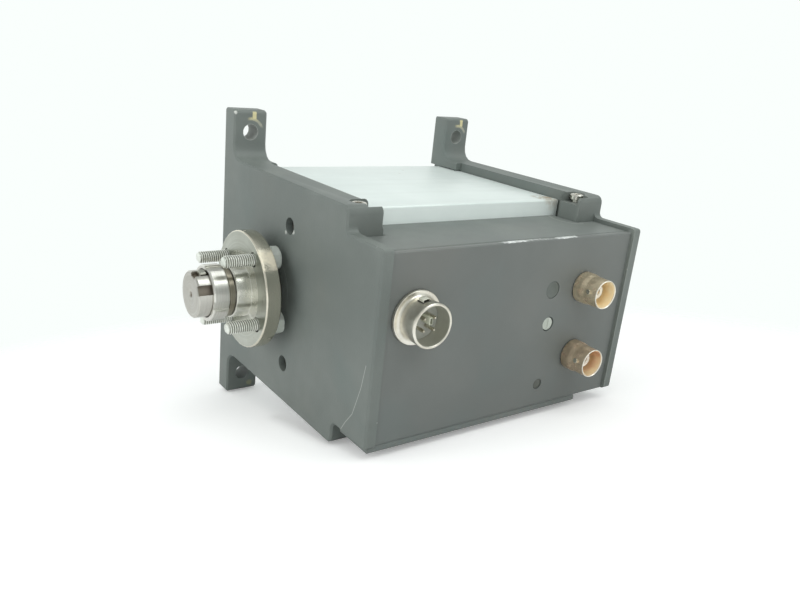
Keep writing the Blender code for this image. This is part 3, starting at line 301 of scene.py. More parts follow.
paintColors = {
    "deep": (0.140, 0.160, 0.149),
    "worn": (0.185, 0.206, 0.192),
    "dust": (0.30, 0.33, 0.30),
    "chip": (0.58, 0.60, 0.56),
    "yellow": (0.66, 0.60, 0.34),
    "cream": (0.42, 0.42, 0.33),
    "panelDeep": (0.150, 0.163, 0.155),
    "panelWorn": (0.172, 0.185, 0.176),
    "flake": (0.84, 0.87, 0.85),
}


def paintRecipe(coords, deep, worn, grainDepth, chips, dust):
    large = coords.noise(22.0, 4.0, 0.6)
    fine = coords.noise(1400.0, 2.0, 0.5)
    rub = coords.noise(95.0, 5.0, 0.65, (1.0, 1.0, 0.35))
    tone = large.step(0.35, 0.7).tint(deep, worn)
    smear = rub.step(0.58, 0.78) * 0.35
    tone = smear.tint(tone, worn)
    # a hint of warm and cool from one patch to the next
    hue = coords.noise(38.0, 2.0, 0.5)
    tone = (hue.step(0.52, 0.75) * 0.35).tint(tone, (deep[0] * 1.10, deep[1] * 1.02, deep[2] * 0.98))
    tone = (hue.step(0.46, 0.25) * 0.35).tint(tone, (deep[0] * 0.94, deep[1] * 1.06, deep[2] * 1.08))
    # pale chips where an edge has lost its paint
    bent = coords.node("Bevel", {"samples": 4}, {"Radius": 0.0007})
    straight = coords.node("NewGeometry", None, None, 1)
    turn = coords.node("VectorMath", {"operation": "DOT_PRODUCT"}, {0: bent, 1: straight}, 1)
    edge = (1.0 - turn).step(0.02, 0.10)
    chip = edge * coords.noise(420.0, 3.0, 0.6).step(chips, chips + 0.03)
    up = straight.xyz()[2].step(0.55, 0.98)
    settled = up * coords.noise(60.0, 5.0, 0.7).step(0.35, 0.75) * dust
    tone = settled.tint(tone, paintColors["dust"])
    tone = chip.tint(tone, paintColors["chip"])
    gloss = 0.42 + large * 0.10 + settled * 0.2 - edge * 0.05
    skin = (fine * 0.7 + rub * 0.3).bump(grainDepth)
    return {"Base Color": tone, "Roughness": gloss, "Normal": skin}


markSettings = {
    "earFace": 0.04675,
    "earHoles": ((-0.0455, -0.0442), (0.0455, 0.0474)),  # x of the hole, and of the paint that ran down to it
    "earHoleHeight": 0.0447,
    "washerRadius": 0.0044,
    "holeChips": (((-0.0515, 0.0013, 0.0213), 0.00085), ((-0.0515, 0.0060, 0.0201), 0.0007)),
    "hair": ((-0.0515, -0.0309, -0.0285), (-0.0515, -0.0331, -0.0283), (-0.0515, -0.0354, -0.0247),
             (-0.0515, -0.0385, -0.0207), (-0.0515, -0.0403, -0.0155), (-0.0515, -0.0417, -0.0113),
             (-0.0515, -0.0431, -0.0042)),
    "secondHair": ((0.0362, -0.0186, 0.0273), (0.0345, -0.0225, 0.0273), (0.0344, -0.0256, 0.0273),
                   (0.0359, -0.0301, 0.0273), (0.0399, -0.0309, 0.0273)),
}


# yellow paint that ran down each upper ear and parted round the washer that sat there
def earPaint(coords, marks):
    x, y, z = coords.xyz()
    ragged = coords.noise(900.0, 4.0, 0.65) - 0.5
    front = y.step(marks["earFace"] + 0.0004, marks["earFace"] + 0.0001)
    total = None
    for holeX, stemX in marks["earHoles"]:
        hole = (holeX, marks["earFace"], marks["earHoleHeight"])
        ring = (coords.awayFrom(hole) - marks["washerRadius"]).size() + ragged * 0.0006
        above = z.step(hole[2] + 0.0012, hole[2] + 0.0026) * x.step(holeX - 0.0016, holeX + 0.0002)
        arc = ring.step(0.0006, 0.0003) * above * 0.75
        stem = (x - stemX).size() + ragged * 0.0007
        tall = z.step(hole[2] + marks["washerRadius"] - 0.0006, hole[2] + marks["washerRadius"])
        both = arc.most(stem.step(0.00085, 0.00050) * tall)
        total = both if total is None else total.most(both)
    return total * front, z.step(0.0478, 0.0496)


def castRecipe(coords):
    marks = markSettings
    made = paintRecipe(coords, paintColors["deep"], paintColors["worn"], 0.00006, 0.72, 0.35)
    tone = made["Base Color"]
    # paint gone in two places round the upper side screw's hole
    for place, wide in marks["holeChips"]:
        bare = coords.awayFrom(place) + coords.noise(1100.0, 2.0) * 0.0006
        tone = (bare.step(wide + 0.0004, wide) * 0.8).tint(tone, paintColors["chip"])
    hair = coords.awayFromPath(marks["hair"]).step(0.00019, 0.00007)
    tone = (hair * 0.42).tint(tone, paintColors["chip"])
    paint, fresh = earPaint(coords, marks)
    tone = paint.tint(tone, fresh.tint(paintColors["cream"], paintColors["yellow"]))
    blot = coords.awayFrom((-0.0425, marks["earFace"], -0.0495)) + coords.noise(700.0, 3.0) * 0.0012
    tone = (blot.step(0.0022, 0.0012) * 0.45).tint(tone, (0.40, 0.40, 0.22))
    # painted light: the walls of the ear holes are painted paler, against the shade inside them
    for holeX, _ in marks["earHoles"]:
        paintedHoleLight = coords.stretched((1.0, 0.0, 1.0)).awayFrom((holeX, 0.0, marks["earHoleHeight"]))
        tone = (paintedHoleLight.step(0.00285, 0.00275) * 0.35).tint(tone, paintColors["chip"])
    # painted light: the inner step of the right cheek is painted a little paler, against the shade on it
    x, y = coords.xyz()[:2]
    step = x.step(0.0476, 0.0478) * x.step(0.0486, 0.0481) * y.step(-0.0440, -0.0445)
    tone = (step * 0.35).tint(tone, paintColors["dust"])
    chip = coords.awayFrom((-0.0512, marks["earFace"], 0.0512)) + coords.noise(900.0, 3.0) * 0.0008
    tone = chip.step(0.00125, 0.0009).tint(tone, paintColors["chip"])
    return {"Base Color": tone, "Roughness": made["Roughness"] + paint * 0.1, "Normal": made["Normal"]}


def housingRecipe(coords):
    made = paintRecipe(coords, (0.146, 0.164, 0.155), (0.182, 0.201, 0.190), 0.00003, 0.74, 0.3)
    hair = coords.awayFromPath(markSettings["secondHair"]).step(0.00022, 0.00008)
    made["Base Color"] = (hair * 0.55).tint(made["Base Color"], paintColors["chip"])
    return made


def panelRecipe(coords):
    made = paintRecipe(coords, paintColors["panelDeep"], paintColors["panelWorn"], 0.00002, 0.90, 0.25)
    x, _, z = coords.xyz()
    # flaked paint along the top edge, thickest in the middle of its length
    ragged = coords.noise(520.0, 4.0, 0.7)
    middle = x.step(-0.0100, -0.0060) * x.step(0.0015, -0.0005)
    far = x.step(0.0125, 0.0145) * x.step(0.0225, 0.0215)
    whole = x.step(-0.0105, -0.0085) * x.step(0.0230, 0.0218)
    depth = (ragged * 1.3 - 0.42) * (middle.most(far) * 0.00026 + whole * 0.00022)
    flake = (z + depth - 0.0273).step(-0.00003, 0.00003) * whole
    dim = middle.most(far) * 0.55 + coords.noise(700.0, 3.0, 0.6).step(0.42, 0.60) * 0.45
    tone = (flake * dim).tint(made["Base Color"], paintColors["flake"])
    # a few pale specks
    specks = coords.cells(95.0).step(0.055, 0.02) * coords.noise(31.0, 2.0).step(0.60, 0.66)
    made["Base Color"] = (specks * 0.5).tint(tone, paintColors["chip"])
    return made


castPaint = makeLook("castPaint", castRecipe)
housingPaint = makeLook("housingPaint", housingRecipe)
panelPaint = makeLook("panelPaint", panelRecipe)


def anodisedRecipe(coords):
    brushed = coords.noise(260.0, 4.0, 0.7, (0.04, 1.0, 1.0))
    cloud = coords.noise(28.0, 4.0, 0.6)
    tone = cloud.step(0.3, 0.7).tint((0.79, 0.865, 0.84), (0.86, 0.93, 0.905))
    tone = (brushed.step(0.35, 0.75) * 0.22).tint(tone, (0.68, 0.74, 0.71))
    specks = coords.cells(150.0).step(0.10, 0.03) * coords.noise(18.0, 2.0).step(0.52, 0.66)
    tone = (specks * 0.5).tint(tone, (0.42, 0.38, 0.30))
    # browner and darker by the right lug, and two small spots
    stain = coords.awayFrom((0.0385, -0.0135, 0.0325)).step(0.0062, 0.0022)
    stain = stain * coords.noise(240.0, 4.0, 0.7).step(0.36, 0.62)
    tone = (stain * 0.8).tint(tone, (0.33, 0.25, 0.15))
    gloss = 0.40 + cloud * 0.12 + stain * 0.3
    metal = 0.15 - stain * 0.15
    return {"Base Color": tone, "Roughness": gloss, "Metallic": metal, "Normal": brushed.bump(0.00002)}


anodised = makeLook("clearAnodised", anodisedRecipe)


def turnedRecipe(coords, tone, dark, stainShare):
    x = coords.xyz()[0]
    radius = coords.awayFromLine(shaftY, 0.0)
    rings = coords.node("CombineXYZ", None, {0: radius, 1: x})
    lines = rings.noise(2600.0, 2.0, 0.6)
    cloud = coords.noise(70.0, 4.0, 0.65)
    color = (lines * 0.35 + cloud * 0.4).step(0.25, 0.6).tint(dark, tone)
    stain = coords.noise(210.0, 5.0, 0.7).step(0.66 - stainShare, 0.80 - stainShare)
    color = (stain * 0.75).tint(color, (0.17, 0.12, 0.075))
    gloss = 0.24 + cloud * 0.16 + stain * 0.25
    metal = 1.0 - stain * 0.5
    return {"Base Color": color, "Roughness": gloss, "Metallic": metal, "Normal": lines.bump(0.000012)}


turnedSteel = lookFrom("turnedSteel", turnedRecipe, (0.64, 0.65, 0.58), (0.46, 0.46, 0.40), 0.02)
groovedSteel = lookFrom("groovedSteel", turnedRecipe, (0.52, 0.48, 0.40), (0.30, 0.27, 0.21), 0.08)
brightSteel = lookFrom("brightSteel", turnedRecipe, (0.94, 0.94, 0.89), (0.72, 0.70, 0.65), 0.0)


# the flange: a brighter collar, a rim polished by handling, and the housing's paint on the hub behind it
def flangeRecipe(coords):
    made = turnedRecipe(coords, (0.65, 0.67, 0.61), (0.47, 0.48, 0.42), 0.02)
    x, y, z = coords.xyz()
    radius = coords.awayFromLine(shaftY, 0.0)
    cloud = coords.noise(50.0, 2.0)
    collar = radius.step(0.0126, 0.0122)
    tone = (collar * 0.7).tint(made["Base Color"], cloud.tint((0.74, 0.73, 0.66), (0.90, 0.89, 0.82)))
    rim = radius.step(0.0181, 0.0184)
    tone = (rim * 0.9).tint(tone, cloud.tint((0.70, 0.66, 0.55), (1.0, 0.93, 0.79)))
    # painted reflection: a dull tan band across the front of the rim, less metallic, stands in for the bright
    # band that light makes there
    paintedRimReflection = rim * z.step(0.0098, 0.0110) * z.step(0.0160, 0.0145) * y.step(0.0150, 0.0130)
    paintedRimReflection = paintedRimReflection * coords.noise(160.0, 3.0, 0.6).step(0.20, 0.50)
    tone = (paintedRimReflection * 0.8).tint(tone, (0.86, 0.79, 0.62))
    hub = x.size().step(0.0568, 0.0566) * radius.step(0.0150, 0.0145)
    tone = hub.tint(tone, cloud.tint(paintColors["deep"], paintColors["worn"]))
    gloss = made["Roughness"] - rim * 0.12 - collar * 0.05 + hub * 0.15
    metal = made["Metallic"] * (1.0 - hub) * (1.0 - paintedRimReflection * 0.7)
    return {"Base Color": tone, "Roughness": gloss, "Metallic": metal, "Normal": made["Normal"]}


flangeSteel = makeLook("flangeSteel", flangeRecipe)


# the shaft, with its keyways' floors painted dark brown: painted shade in the keyways
def shaftRecipe(coords):
    made = turnedRecipe(coords, (0.78, 0.78, 0.74), (0.56, 0.54, 0.49), 0.0)
    x = coords.xyz()[0]
    radius = coords.awayFromLine(shaftY, 0.0)
    # painted shade: the keyways' floors are darkened brown
    end = x.size().step(0.0680, 0.0684) * x.size().step(0.0777, 0.0775)
    low = radius.step(0.0067, 0.0063) * end
    brown = coords.noise(500.0, 3.0).tint((0.20, 0.16, 0.12), (0.30, 0.26, 0.21))
    made["Base Color"] = (low * 0.85).tint(made["Base Color"], brown)
    made["Roughness"] = made["Roughness"] + low * 0.2
    return made


shaftSteel = makeLook("shaftSteel", shaftRecipe)
groundSteel = lookFrom("groundSteel", turnedRecipe, (0.58, 0.58, 0.57), (0.44, 0.44, 0.44), -0.08)


def platedRecipe(coords, tone, dull, rough, stainColor, stainAt):
    cloud = coords.noise(180.0, 4.0, 0.6)
    fine = coords.noise(900.0, 3.0, 0.6)
    color = cloud.step(0.3, 0.7).tint(dull, tone)
    stain = coords.noise(420.0, 5.0, 0.7).step(stainAt, stainAt + 0.12)
    color = (stain * 0.8).tint(color, stainColor)
    gloss = rough + cloud * 0.14 + stain * 0.22
    metal = 1.0 - stain * 0.45
    return {"Base Color": color, "Roughness": gloss, "Metallic": metal, "Normal": fine.bump(0.00002)}


def brightZinc(coords):
    made = platedRecipe(coords, (0.94, 0.97, 0.91), (0.74, 0.77, 0.71), 0.24, (0.34, 0.28, 0.20), 0.66)
    made["Metallic"] = made["Metallic"] * 0.65
    return made


zincPlate = makeLook("zincPlate", brightZinc)
agedZinc = lookFrom("agedZinc", platedRecipe, (0.92, 0.90, 0.83), (0.60, 0.56, 0.48), 0.18,
                    (0.24, 0.19, 0.14), 0.60)
darkScrew = lookFrom("darkScrew", platedRecipe, (0.20, 0.19, 0.17), (0.10, 0.10, 0.09), 0.30,
                     (0.05, 0.045, 0.04), 0.60)


def nickelRecipe(coords):
    return platedRecipe(coords, (0.98, 0.95, 0.86), (0.76, 0.72, 0.62), 0.27, (0.40, 0.32, 0.24), 0.66)


nickelPlate = makeLook("nickelPlate", nickelRecipe)


# dull gold barrels with a painted highlight on the rim, given by how far they stand out of the panel
def barrelRecipe(coords, tone, dull, stainColor):
    made = platedRecipe(coords, tone, dull, 0.26, stainColor, 0.52)
    out = panelY - coords.xyz()[1]
    # painted highlight: the rim is painted pale and made less metallic
    rim = out.step(0.0090, 0.0092)
    made["Base Color"] = (rim * 0.9).tint(made["Base Color"], (1.0, 0.97, 0.87))
    made["Metallic"] = made["Metallic"] * 0.85 - rim * 0.4
    return made


agedGold = lookFrom("agedGold", barrelRecipe, (1.0, 0.85, 0.62), (0.66, 0.56, 0.40), (0.42, 0.30, 0.20))
redGold = lookFrom("redGold", barrelRecipe, (0.96, 0.78, 0.57), (0.62, 0.49, 0.35), (0.42, 0.28, 0.20))
brightGold = lookFrom("brightGold", platedRecipe, (0.90, 0.72, 0.45), (0.74, 0.56, 0.33), 0.16,
                      (0.35, 0.23, 0.12), 0.72)
palePins = lookFrom("palePins", platedRecipe, (0.74, 0.72, 0.62), (0.56, 0.52, 0.42), 0.20,
                    (0.35, 0.28, 0.18), 0.70)


def mouldedRecipe(coords, tone, second, rough, grain):
    cloud = coords.noise(140.0, 4.0, 0.6)
    fine = coords.noise(1500.0, 2.0, 0.5)
    return {
        "Base Color": cloud.step(0.3, 0.75).tint(tone, second),
        "Roughness": rough + cloud * 0.12,
        "Normal": fine.bump(grain),
    }


connectorPlastic = lookFrom("connectorPlastic", mouldedRecipe, (0.39, 0.40, 0.36), (0.51, 0.51, 0.47),
                            0.42, 0.00002)
postPlastic = lookFrom("postPlastic", mouldedRecipe, (0.66, 0.68, 0.54), (0.78, 0.79, 0.66),
                       0.40, 0.00002)
plugPaint = lookFrom("plugPaint", mouldedRecipe, (0.108, 0.126, 0.114), (0.150, 0.166, 0.154),
                     0.36, 0.00002)
upperMouth = lookFrom("upperMouth", mouldedRecipe, (1.0, 0.76, 0.42), (1.0, 0.90, 0.66),
                      0.25, 0.00001, fixed={"Metallic": 0.10})
lowerMouth = lookFrom("lowerMouth", mouldedRecipe, (0.78, 0.45, 0.27), (0.92, 0.78, 0.50),
                      0.25, 0.00001, fixed={"Metallic": 0.25})
paleInsulator = lookFrom("paleInsulator", mouldedRecipe, (0.96, 0.93, 0.84), (1.0, 0.99, 0.94),
                         0.30, 0.00001)
trimmerPlastic = lookFrom("trimmerPlastic", mouldedRecipe, (0.48, 0.52, 0.46), (0.62, 0.66, 0.60),
                          0.40, 0.00002)
coilResin = lookFrom("coilResin", mouldedRecipe, (0.09, 0.05, 0.03), (0.14, 0.08, 0.05),
                     0.50, 0.00004)
lampLens = lookFrom("lampLens", mouldedRecipe, (0.070, 0.080, 0.068), (0.115, 0.122, 0.104),
                    0.22, 0.00001)


def boardRecipe(coords):
    x, _, z = coords.xyz()
    flat = coords.node("CombineXYZ", None, {0: x, 1: z})
    inputs = {"Vector": flat, "Scale": 220.0, "Mortar Size": 0.03}
    tracks = coords.node("TexBrick", {"offset": 0.5}, inputs, 1)
    cloud = coords.noise(90.0, 3.0)
    color = cloud.tint((0.02, 0.13, 0.05), (0.03, 0.19, 0.08))
    color = (tracks * 0.6).tint(color, (0.06, 0.30, 0.14))
    return {"Base Color": color, "Roughness": 0.35 + cloud * 0.15}


boardLacquer = makeLook("boardLacquer", boardRecipe)
print("finishes are made")


# shapes

# turns a grid of points (rows, columns, xyz) into a closed mesh; rows may join end to end, columns always do
def skin(name, points, joinRows=False):
    rows, columns = points.shape[:2]
    index = np.arange(rows * columns).reshape(rows, columns)
    if joinRows:
        index = np.vstack([index, index[:1]])
    a, b = index[:-1], index[1:]
    faces = np.stack([a, np.roll(a, -1, 1), np.roll(b, -1, 1), b], axis=-1).reshape(-1, 4)
    mesh = bpy.data.meshes.new(name)
    mesh.from_pydata(points.reshape(-1, 3), [], faces)
    shape = bmesh.new()
    shape.from_mesh(mesh)
    bmesh.ops.remove_doubles(shape, verts=shape.verts, dist=0.0000005)
    bmesh.ops.recalc_face_normals(shape, faces=shape.faces)
    shape.to_mesh(mesh)
    shape.free()
    return mesh


# a profile of (radius, height) swept round the local z axis: x = r cos t, y = r sin t, z = height
def swept(profile, columns=64, reshape=None):
    profile = np.asarray(profile, float)
    turn = np.linspace(0, 2 * np.pi, columns, endpoint=False)[None, :]
    radius = profile[:, :1] + 0 * turn
    height = profile[:, 1:] + 0 * turn
    if reshape:
        radius, height = reshape(radius, height, turn)
    return np.stack([radius * np.cos(turn), radius * np.sin(turn), height], axis=-1)


# rounds each corner of a (radius, height) profile: the corner's two sides are met by a short quadratic arc
def softened(corners, amount, closed=False, steps=3):
    corners = np.asarray(corners, float)
    out = []
    last = len(corners) - 1
    for i, corner in enumerate(corners):
        if not closed and i in (0, last):
            out.append(corner[None])
            continue
        back, ahead = corners[i - 1] - corner, corners[(i + 1) % len(corners)] - corner
        cut = min(amount, 0.45 * np.linalg.norm(back), 0.45 * np.linalg.norm(ahead))
        start = corner + back / np.linalg.norm(back) * cut
        end = corner + ahead / np.linalg.norm(ahead) * cut
        t = np.linspace(0, 1, steps + 1)[:, None]
        out.append((1 - t) ** 2 * start + 2 * t * (1 - t) * corner + t ** 2 * end)
    return np.vstack(out)


# local z points out of the panel: x stays, y goes up, z comes forward
def onPanel(points, x, z):
    return np.stack([x + points[..., 0], panelY - points[..., 2], z + points[..., 1]], axis=-1)


# local z points outward along the shaft; on the left side everything is turned half round z
def onShaft(points, side, along, y, z):
    return np.stack([side * (along + points[..., 2]), y + side * points[..., 0], z + points[..., 1]], axis=-1)


def addPiece(name, mesh, body, look, stands=(), crease=32, bevel=0.0):
    mesh.materials.clear()
    mesh.materials.append(look)
    piece = bpy.data.objects.new(name, mesh)
    scene.collection.objects.link(piece)
    if bevel:
        rounding = piece.modifiers.new("edgeRounding", "BEVEL")
        rounding.width = bevel
        rounding.segments = 2
        rounding.limit_method = "ANGLE"
        rounding.angle_limit = radians(28)
        rounding.harden_normals = True
    mesh.shade_smooth()
    mesh.set_sharp_from_angle(angle=radians(crease))
    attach(piece, body)
    if stands:
        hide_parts(*stands)


# a finer copy of a CAD node: its loose triangles joined, flat ones merged, its edges rounded
def dress(node, look, bevel=0.0002, reshape=None):
    mesh = nodes[node].data.copy()
    if reshape:
        points = np.empty(len(mesh.vertices) * 3)
        mesh.vertices.foreach_get("co", points)
        points = points.reshape(-1, 3)
        reshape(points)
        mesh.vertices.foreach_set("co", points.ravel())
    shape = bmesh.new()
    shape.from_mesh(mesh)
    bmesh.ops.remove_doubles(shape, verts=shape.verts, dist=0.000002)
    bmesh.ops.dissolve_limit(shape, angle_limit=radians(0.6), verts=shape.verts, edges=shape.edges)
    shape.to_mesh(mesh)
    shape.free()
    addPiece("dressed_" + node, mesh, bodyOf[node], look, [node], bevel=bevel)


for side in ("left", "right"):
    dress(side + "_bracket", castPaint, 0.0005)
dress("front_housing", housingPaint, 0.0005)


# the cover is seated: its upper side rises through the gap to the housing and the cheek
def seatCover(points):
    points[points[:, 2] > -0.0290, 2] += 0.00029


dress("bottom_cover", housingPaint, 0.0001, reshape=seatCover)
dress("front_panel", panelPaint, 0.0001)
dress("stator_body", anodised, 0.0003)
print("brackets, housing and stator are dressed")


# the lug screws stand a little higher and fill their pockets
def raiseHead(points):
    top = points[:, 2] > points[:, 2].max() - 0.0020
    middle = (points.min(axis=0) + points.max(axis=0))[:2] / 2
    points[top, :2] = middle + (points[top, :2] - middle) * 1.04
    points[top, 2] += 0.0006


for side in ("left", "right"):
    dress(side + "_flange", flangeSteel, 0.00025)
    dress(side + "_lock_washer", groovedSteel, 0.0002)
    dress(side + "_lock_nut", brightSteel, 0.0002)
    dress(side + "_key", turnedSteel, 0.0001)
    for level in ("upper", "lower"):
        dress(f"{side}_{level}_side_screw", darkScrew, 0.00012)
        dress(f"{side}_{level}_lug_screw", agedZinc, 0.0002, reshape=raiseHead)
dress("rotor_shaft", shaftSteel, 0.0002)

boltSettings = {
    "circle": 0.0141,
    "firstAngle": 33.5,
    "headFlats": 0.007,
    "headHeight": 0.0028,
    "headStart": 0.0515 + 0.0052 - 0.0003 - 0.0028,  # the flange's inner face, less a gap and the head
    "shankLength": 0.015,
    "majorRadius": 0.00198,
    "pitch": 0.0007,
    "threadDepth": 0.00036,
    "tipLength": 0.0007,
    "tipTaper": 0.0005,
}
bearingCover = {"inner": 0.0084, "outer": 0.0122, "thick": 0.00045, "start": 0.0511}


# hexagon head: its radius is the lesser of the hexagon's and of a cone's that narrows to the free face
def hexHead(settings):
    flats, tall = settings["headFlats"] / 2, settings["headHeight"]
    corner = flats / np.cos(np.pi / 6)
    heights = np.array([0, 0, 0.10, 0.22, 0.40, 1, 1, 1]) * tall
    share = np.array([0, 0.93, 0.955, 0.98, 1, 1, 0.6, 0])
    profile = np.stack([share, heights], axis=-1)

    def reshape(share, height, turn):
        sector = (turn + np.pi / 6) % (np.pi / 3) - np.pi / 6
        hexagon = flats / np.cos(sector)
        cone = corner * (0.90 + height / tall * 0.55)
        return np.where(share >= 0.9, np.minimum(hexagon, cone), share * flats), height

    return swept(profile, 72, reshape)


# helical thread: the radius falls from the crest by a triangle wave
# of height over pitch, less turn over a full turn
def threadedShank(settings):
    length, major, pitch = settings["shankLength"], settings["majorRadius"], settings["pitch"]
    rows = int(length / pitch * 6)
    heights = np.linspace(0, length, rows)
    profile = np.vstack([(0, 0), np.stack([np.full(rows, major), heights], axis=-1), (0, length)])
    taper = settings["tipLength"]

    def reshape(radius, height, turn):
        wave = (height / pitch - turn / (2 * np.pi)) % 1.0
        groove = settings["threadDepth"] * (1 - np.abs(2 * wave - 1))
        tip = np.clip((height - (length - taper)) / taper, 0, 1) * settings["tipTaper"]
        return np.where(radius > 0, radius - groove - tip, 0.0), height

    return swept(profile, 24, reshape)


boltAngles = [radians(boltSettings["firstAngle"] + 90 * number) for number in range(4)]
boltCircle = boltSettings["circle"]
boltPlaces = [(float(shaftY + boltCircle * np.cos(a)), float(boltCircle * np.sin(a))) for a in boltAngles]


# zinc painted darker in the thread's grooves, told by the distance to the nearest bolt's axis: painted shade
# in the grooves
def threadRecipe(coords):
    made = platedRecipe(coords, (0.96, 0.98, 0.92), (0.74, 0.77, 0.70), 0.22, (0.34, 0.28, 0.20), 0.70)
    nearest = None
    for y, z in boltPlaces:
        away = coords.awayFromLine(y, z)
        nearest = away if nearest is None else nearest.least(away)
    groove = nearest.step(0.00188, 0.00170) * coords.xyz()[0].size().step(0.0710, 0.0705)
    # painted shade: the grooves are darkened
    made["Base Color"] = (groove * 0.8).tint(made["Base Color"], (0.14, 0.13, 0.095))
    made["Roughness"] = made["Roughness"] + groove * 0.3
    made["Metallic"] = made["Metallic"] * 0.75
    return made


threadedZinc = makeLook("threadedZinc", threadRecipe)

for side, sign in (("left", -1), ("right", 1)):
    for number, (y, z) in enumerate(boltPlaces):
        start = boltSettings["headStart"]
        node = f"{side}_flange_bolt_{number + 1}"
        head = skin(node, onShaft(hexHead(boltSettings), sign, start, y, z))
        addPiece("hexHead_" + node, head, "rotor", zincPlate, [node], 25, 0.0001)
        shank = onShaft(threadedShank(boltSettings), sign, start + boltSettings["headHeight"] - 0.0001, y, z)
        addPiece("thread_" + node, skin(node + "_thread", shank), "rotor", threadedZinc, (), 60)
    # a painted ring closes the bracket's bore round the shaft
    inner, outer, thick = bearingCover["inner"], bearingCover["outer"], bearingCover["thick"]
    ring = softened([(inner, 0.0), (outer, 0.0), (outer, thick), (inner, thick)], 0.00003, True)
    cover = onShaft(swept(ring, 96), sign, bearingCover["start"], shaftY, 0.0)
    mesh = skin(side + "BearingCover", cover, True)
    addPiece(side + "BearingCover", mesh, "stator", castPaint)
print("rotor is dressed")

powerSettings = {
    "x": -0.0382,
    "z": 0.0088,
    "reach": 0.0081,
    "bore": 0.00562,
    "ring": 0.00642,
    "neck": 0.00624,
    "flange": 0.00785,
    "flangeTop": 0.0012,
    "insertFace": 0.0026,
    "insertRadius": 0.00532,
    "insertFill": 0.00558,
    "lip": 0.0013,
    "keyAngle": 101,
    "keyReach": 0.0046,
    "pinCircle": 0.0024,
    "pinRadius": 0.0005,
    "pinTip": 0.0066,
    "postTop": 0.0064,
    "postSize": (0.0011, 0.0021),
    "postShift": (0.0005, 0.0008),  # from the connector's middle
}


# nickel, duller and painted darker inside the bore: painted shade
def shellRecipe(coords):
    made = nickelRecipe(coords)
    middle = (powerSettings["x"], 0.0, powerSettings["z"])
    radius = coords.stretched((1.0, 0.0, 1.0)).awayFrom(middle)
    inside = radius.step(powerSettings["bore"] + 0.00008, powerSettings["bore"] + 0.00003)
    made["Base Color"] = (inside * 0.85).tint(made["Base Color"], (0.70, 0.70, 0.64))
    made["Roughness"] = made["Roughness"] + inside * 0.15
    return made


shellNickel = makeLook("shellNickel", shellRecipe)
brightNickel = lookFrom("brightNickel", mouldedRecipe, (0.66, 0.66, 0.56), (0.84, 0.84, 0.74),
                        0.30, 0.00001, fixed={"Metallic": 0.3})


# nickel shell of the power connector: a thin ring, a neck that flares to the flange by a quarter circle
def powerShell(s):
    rim, ring, bore = s["reach"], s["ring"], s["bore"]
    neck, top, flange = s["neck"], s["flangeTop"], s["flange"]
    inner, lip = s["insertRadius"] - 0.0007, s["lip"]
    outer = softened([
        (bore, rim - 0.0002), (bore + 0.00015, rim), (ring - 0.00025, rim), (ring, rim - 0.0003),
        (ring, rim - 0.0009), (neck, rim - 0.0042), (neck, top + 0.0009),
    ], 0.00012)
    t = np.linspace(0, np.pi / 2, 10)[1:, None]
    flare = np.hstack([neck + 0.0009 * (1 - np.cos(t)), top + 0.0009 * (1 - np.sin(t))])
    foot = softened([
        (ring + 0.0008, top), (flange - 0.0001, top), (flange, top - 0.0002), (flange, 0.0003),
        (inner, 0.0003), (inner, lip), (bore, lip), (bore, lip + 0.001),
    ], 0.00008)
    return swept(np.vstack([outer, flare, foot]), 96)


def addPowerConnector(s):
    def place(points):
        return onPanel(points, s["x"], s["z"])

    mesh = skin("powerShell", place(powerShell(s)), True)
    addPiece("powerShell", mesh, "stator", shellNickel, ["power_connector_shell"])
    face, tip = s["insertFace"], s["pinTip"]
    wide, back = s["insertFill"], s["lip"] + 0.0002
    disc = softened([(0, face), (wide, face), (wide, back), (0, back)], 0.00005)
    insert = skin("powerInsert", place(swept(disc, 64)))
    addPiece("powerInsert", insert, "stator", connectorPlastic, ["power_connector_insert"])
    thin, foot = s["pinRadius"], face - 0.001
    corners = [(0, tip), (thin * 0.6, tip), (thin, tip - 0.0006), (thin, foot), (0, foot)]
    pin = softened(corners, 0.0003, steps=5)
    for number in range(4):
        angle = np.pi / 4 + np.pi / 2 * number
        points = swept(pin, 24)
        points[..., 0] += s["pinCircle"] * np.cos(angle)
        points[..., 1] += s["pinCircle"] * np.sin(angle)
        node = f"power_pin_{number + 1}"
        mesh = skin(node, place(points))
        addPiece(f"powerPin_{number + 1}", mesh, "stator", palePins, [node])
    post = roundedBlock((*s["postSize"], s["postTop"] - face + 0.0005), 0.0002)
    post += (*s["postShift"], (s["postTop"] + face - 0.0005) / 2)
    addPiece("powerPost", skin("powerPost", place(post)), "stator", postPlastic)
    turn = radians(s["keyAngle"])
    for name, size, rise, look in (("powerKey", (0.0021, 0.0009, 0.0022), 0.00045, brightNickel),
                                   ("powerKeySeat", (0.0026, 0.0003, 0.0027), 0.00003, darkScrew)):
        key = roundedBlock(size, 0.00012)
        out = key[..., 1] + s["neck"] + rise
        points = np.stack([out * np.cos(turn) + key[..., 0] * np.sin(turn),
                           out * np.sin(turn) - key[..., 0] * np.cos(turn),
                           key[..., 2] + s["keyReach"]], axis=-1)
        addPiece(name, skin(name, place(points)), "stator", look)


# a sphere whose eight octants are pulled apart to a block:
# each point is half the size less the radius, plus the radius times its direction
def roundedBlock(size, radius):
    steps = 8
    half = np.array(size) / 2 - radius
    tall = np.linspace(-np.pi / 2, np.pi / 2, steps)[:, None]
    around = (np.arange(2 * steps) + 0.5)[None, :] * np.pi / steps
    wide = np.cos(tall)
    way = np.stack([wide * np.cos(around), wide * np.sin(around), np.sin(tall) + 0 * around], axis=-1)
    return np.sign(way) * half + radius * way


addPowerConnector(powerSettings)

jackSettings = {
    "x": 0.0284,
    "zs": {"upper": 0.01075, "lower": -0.01235},
    "reach": 0.0094,
    "radius": 0.0048,
    "bore": 0.00425,
    "collar": 0.0050,
    "rimRadius": 0.0046,
    "collarTop": 0.0037,
    "mouthDepth": 0.0062,
    "lugAngles": (172, 352),
    "lugFromRim": 0.0030,
}


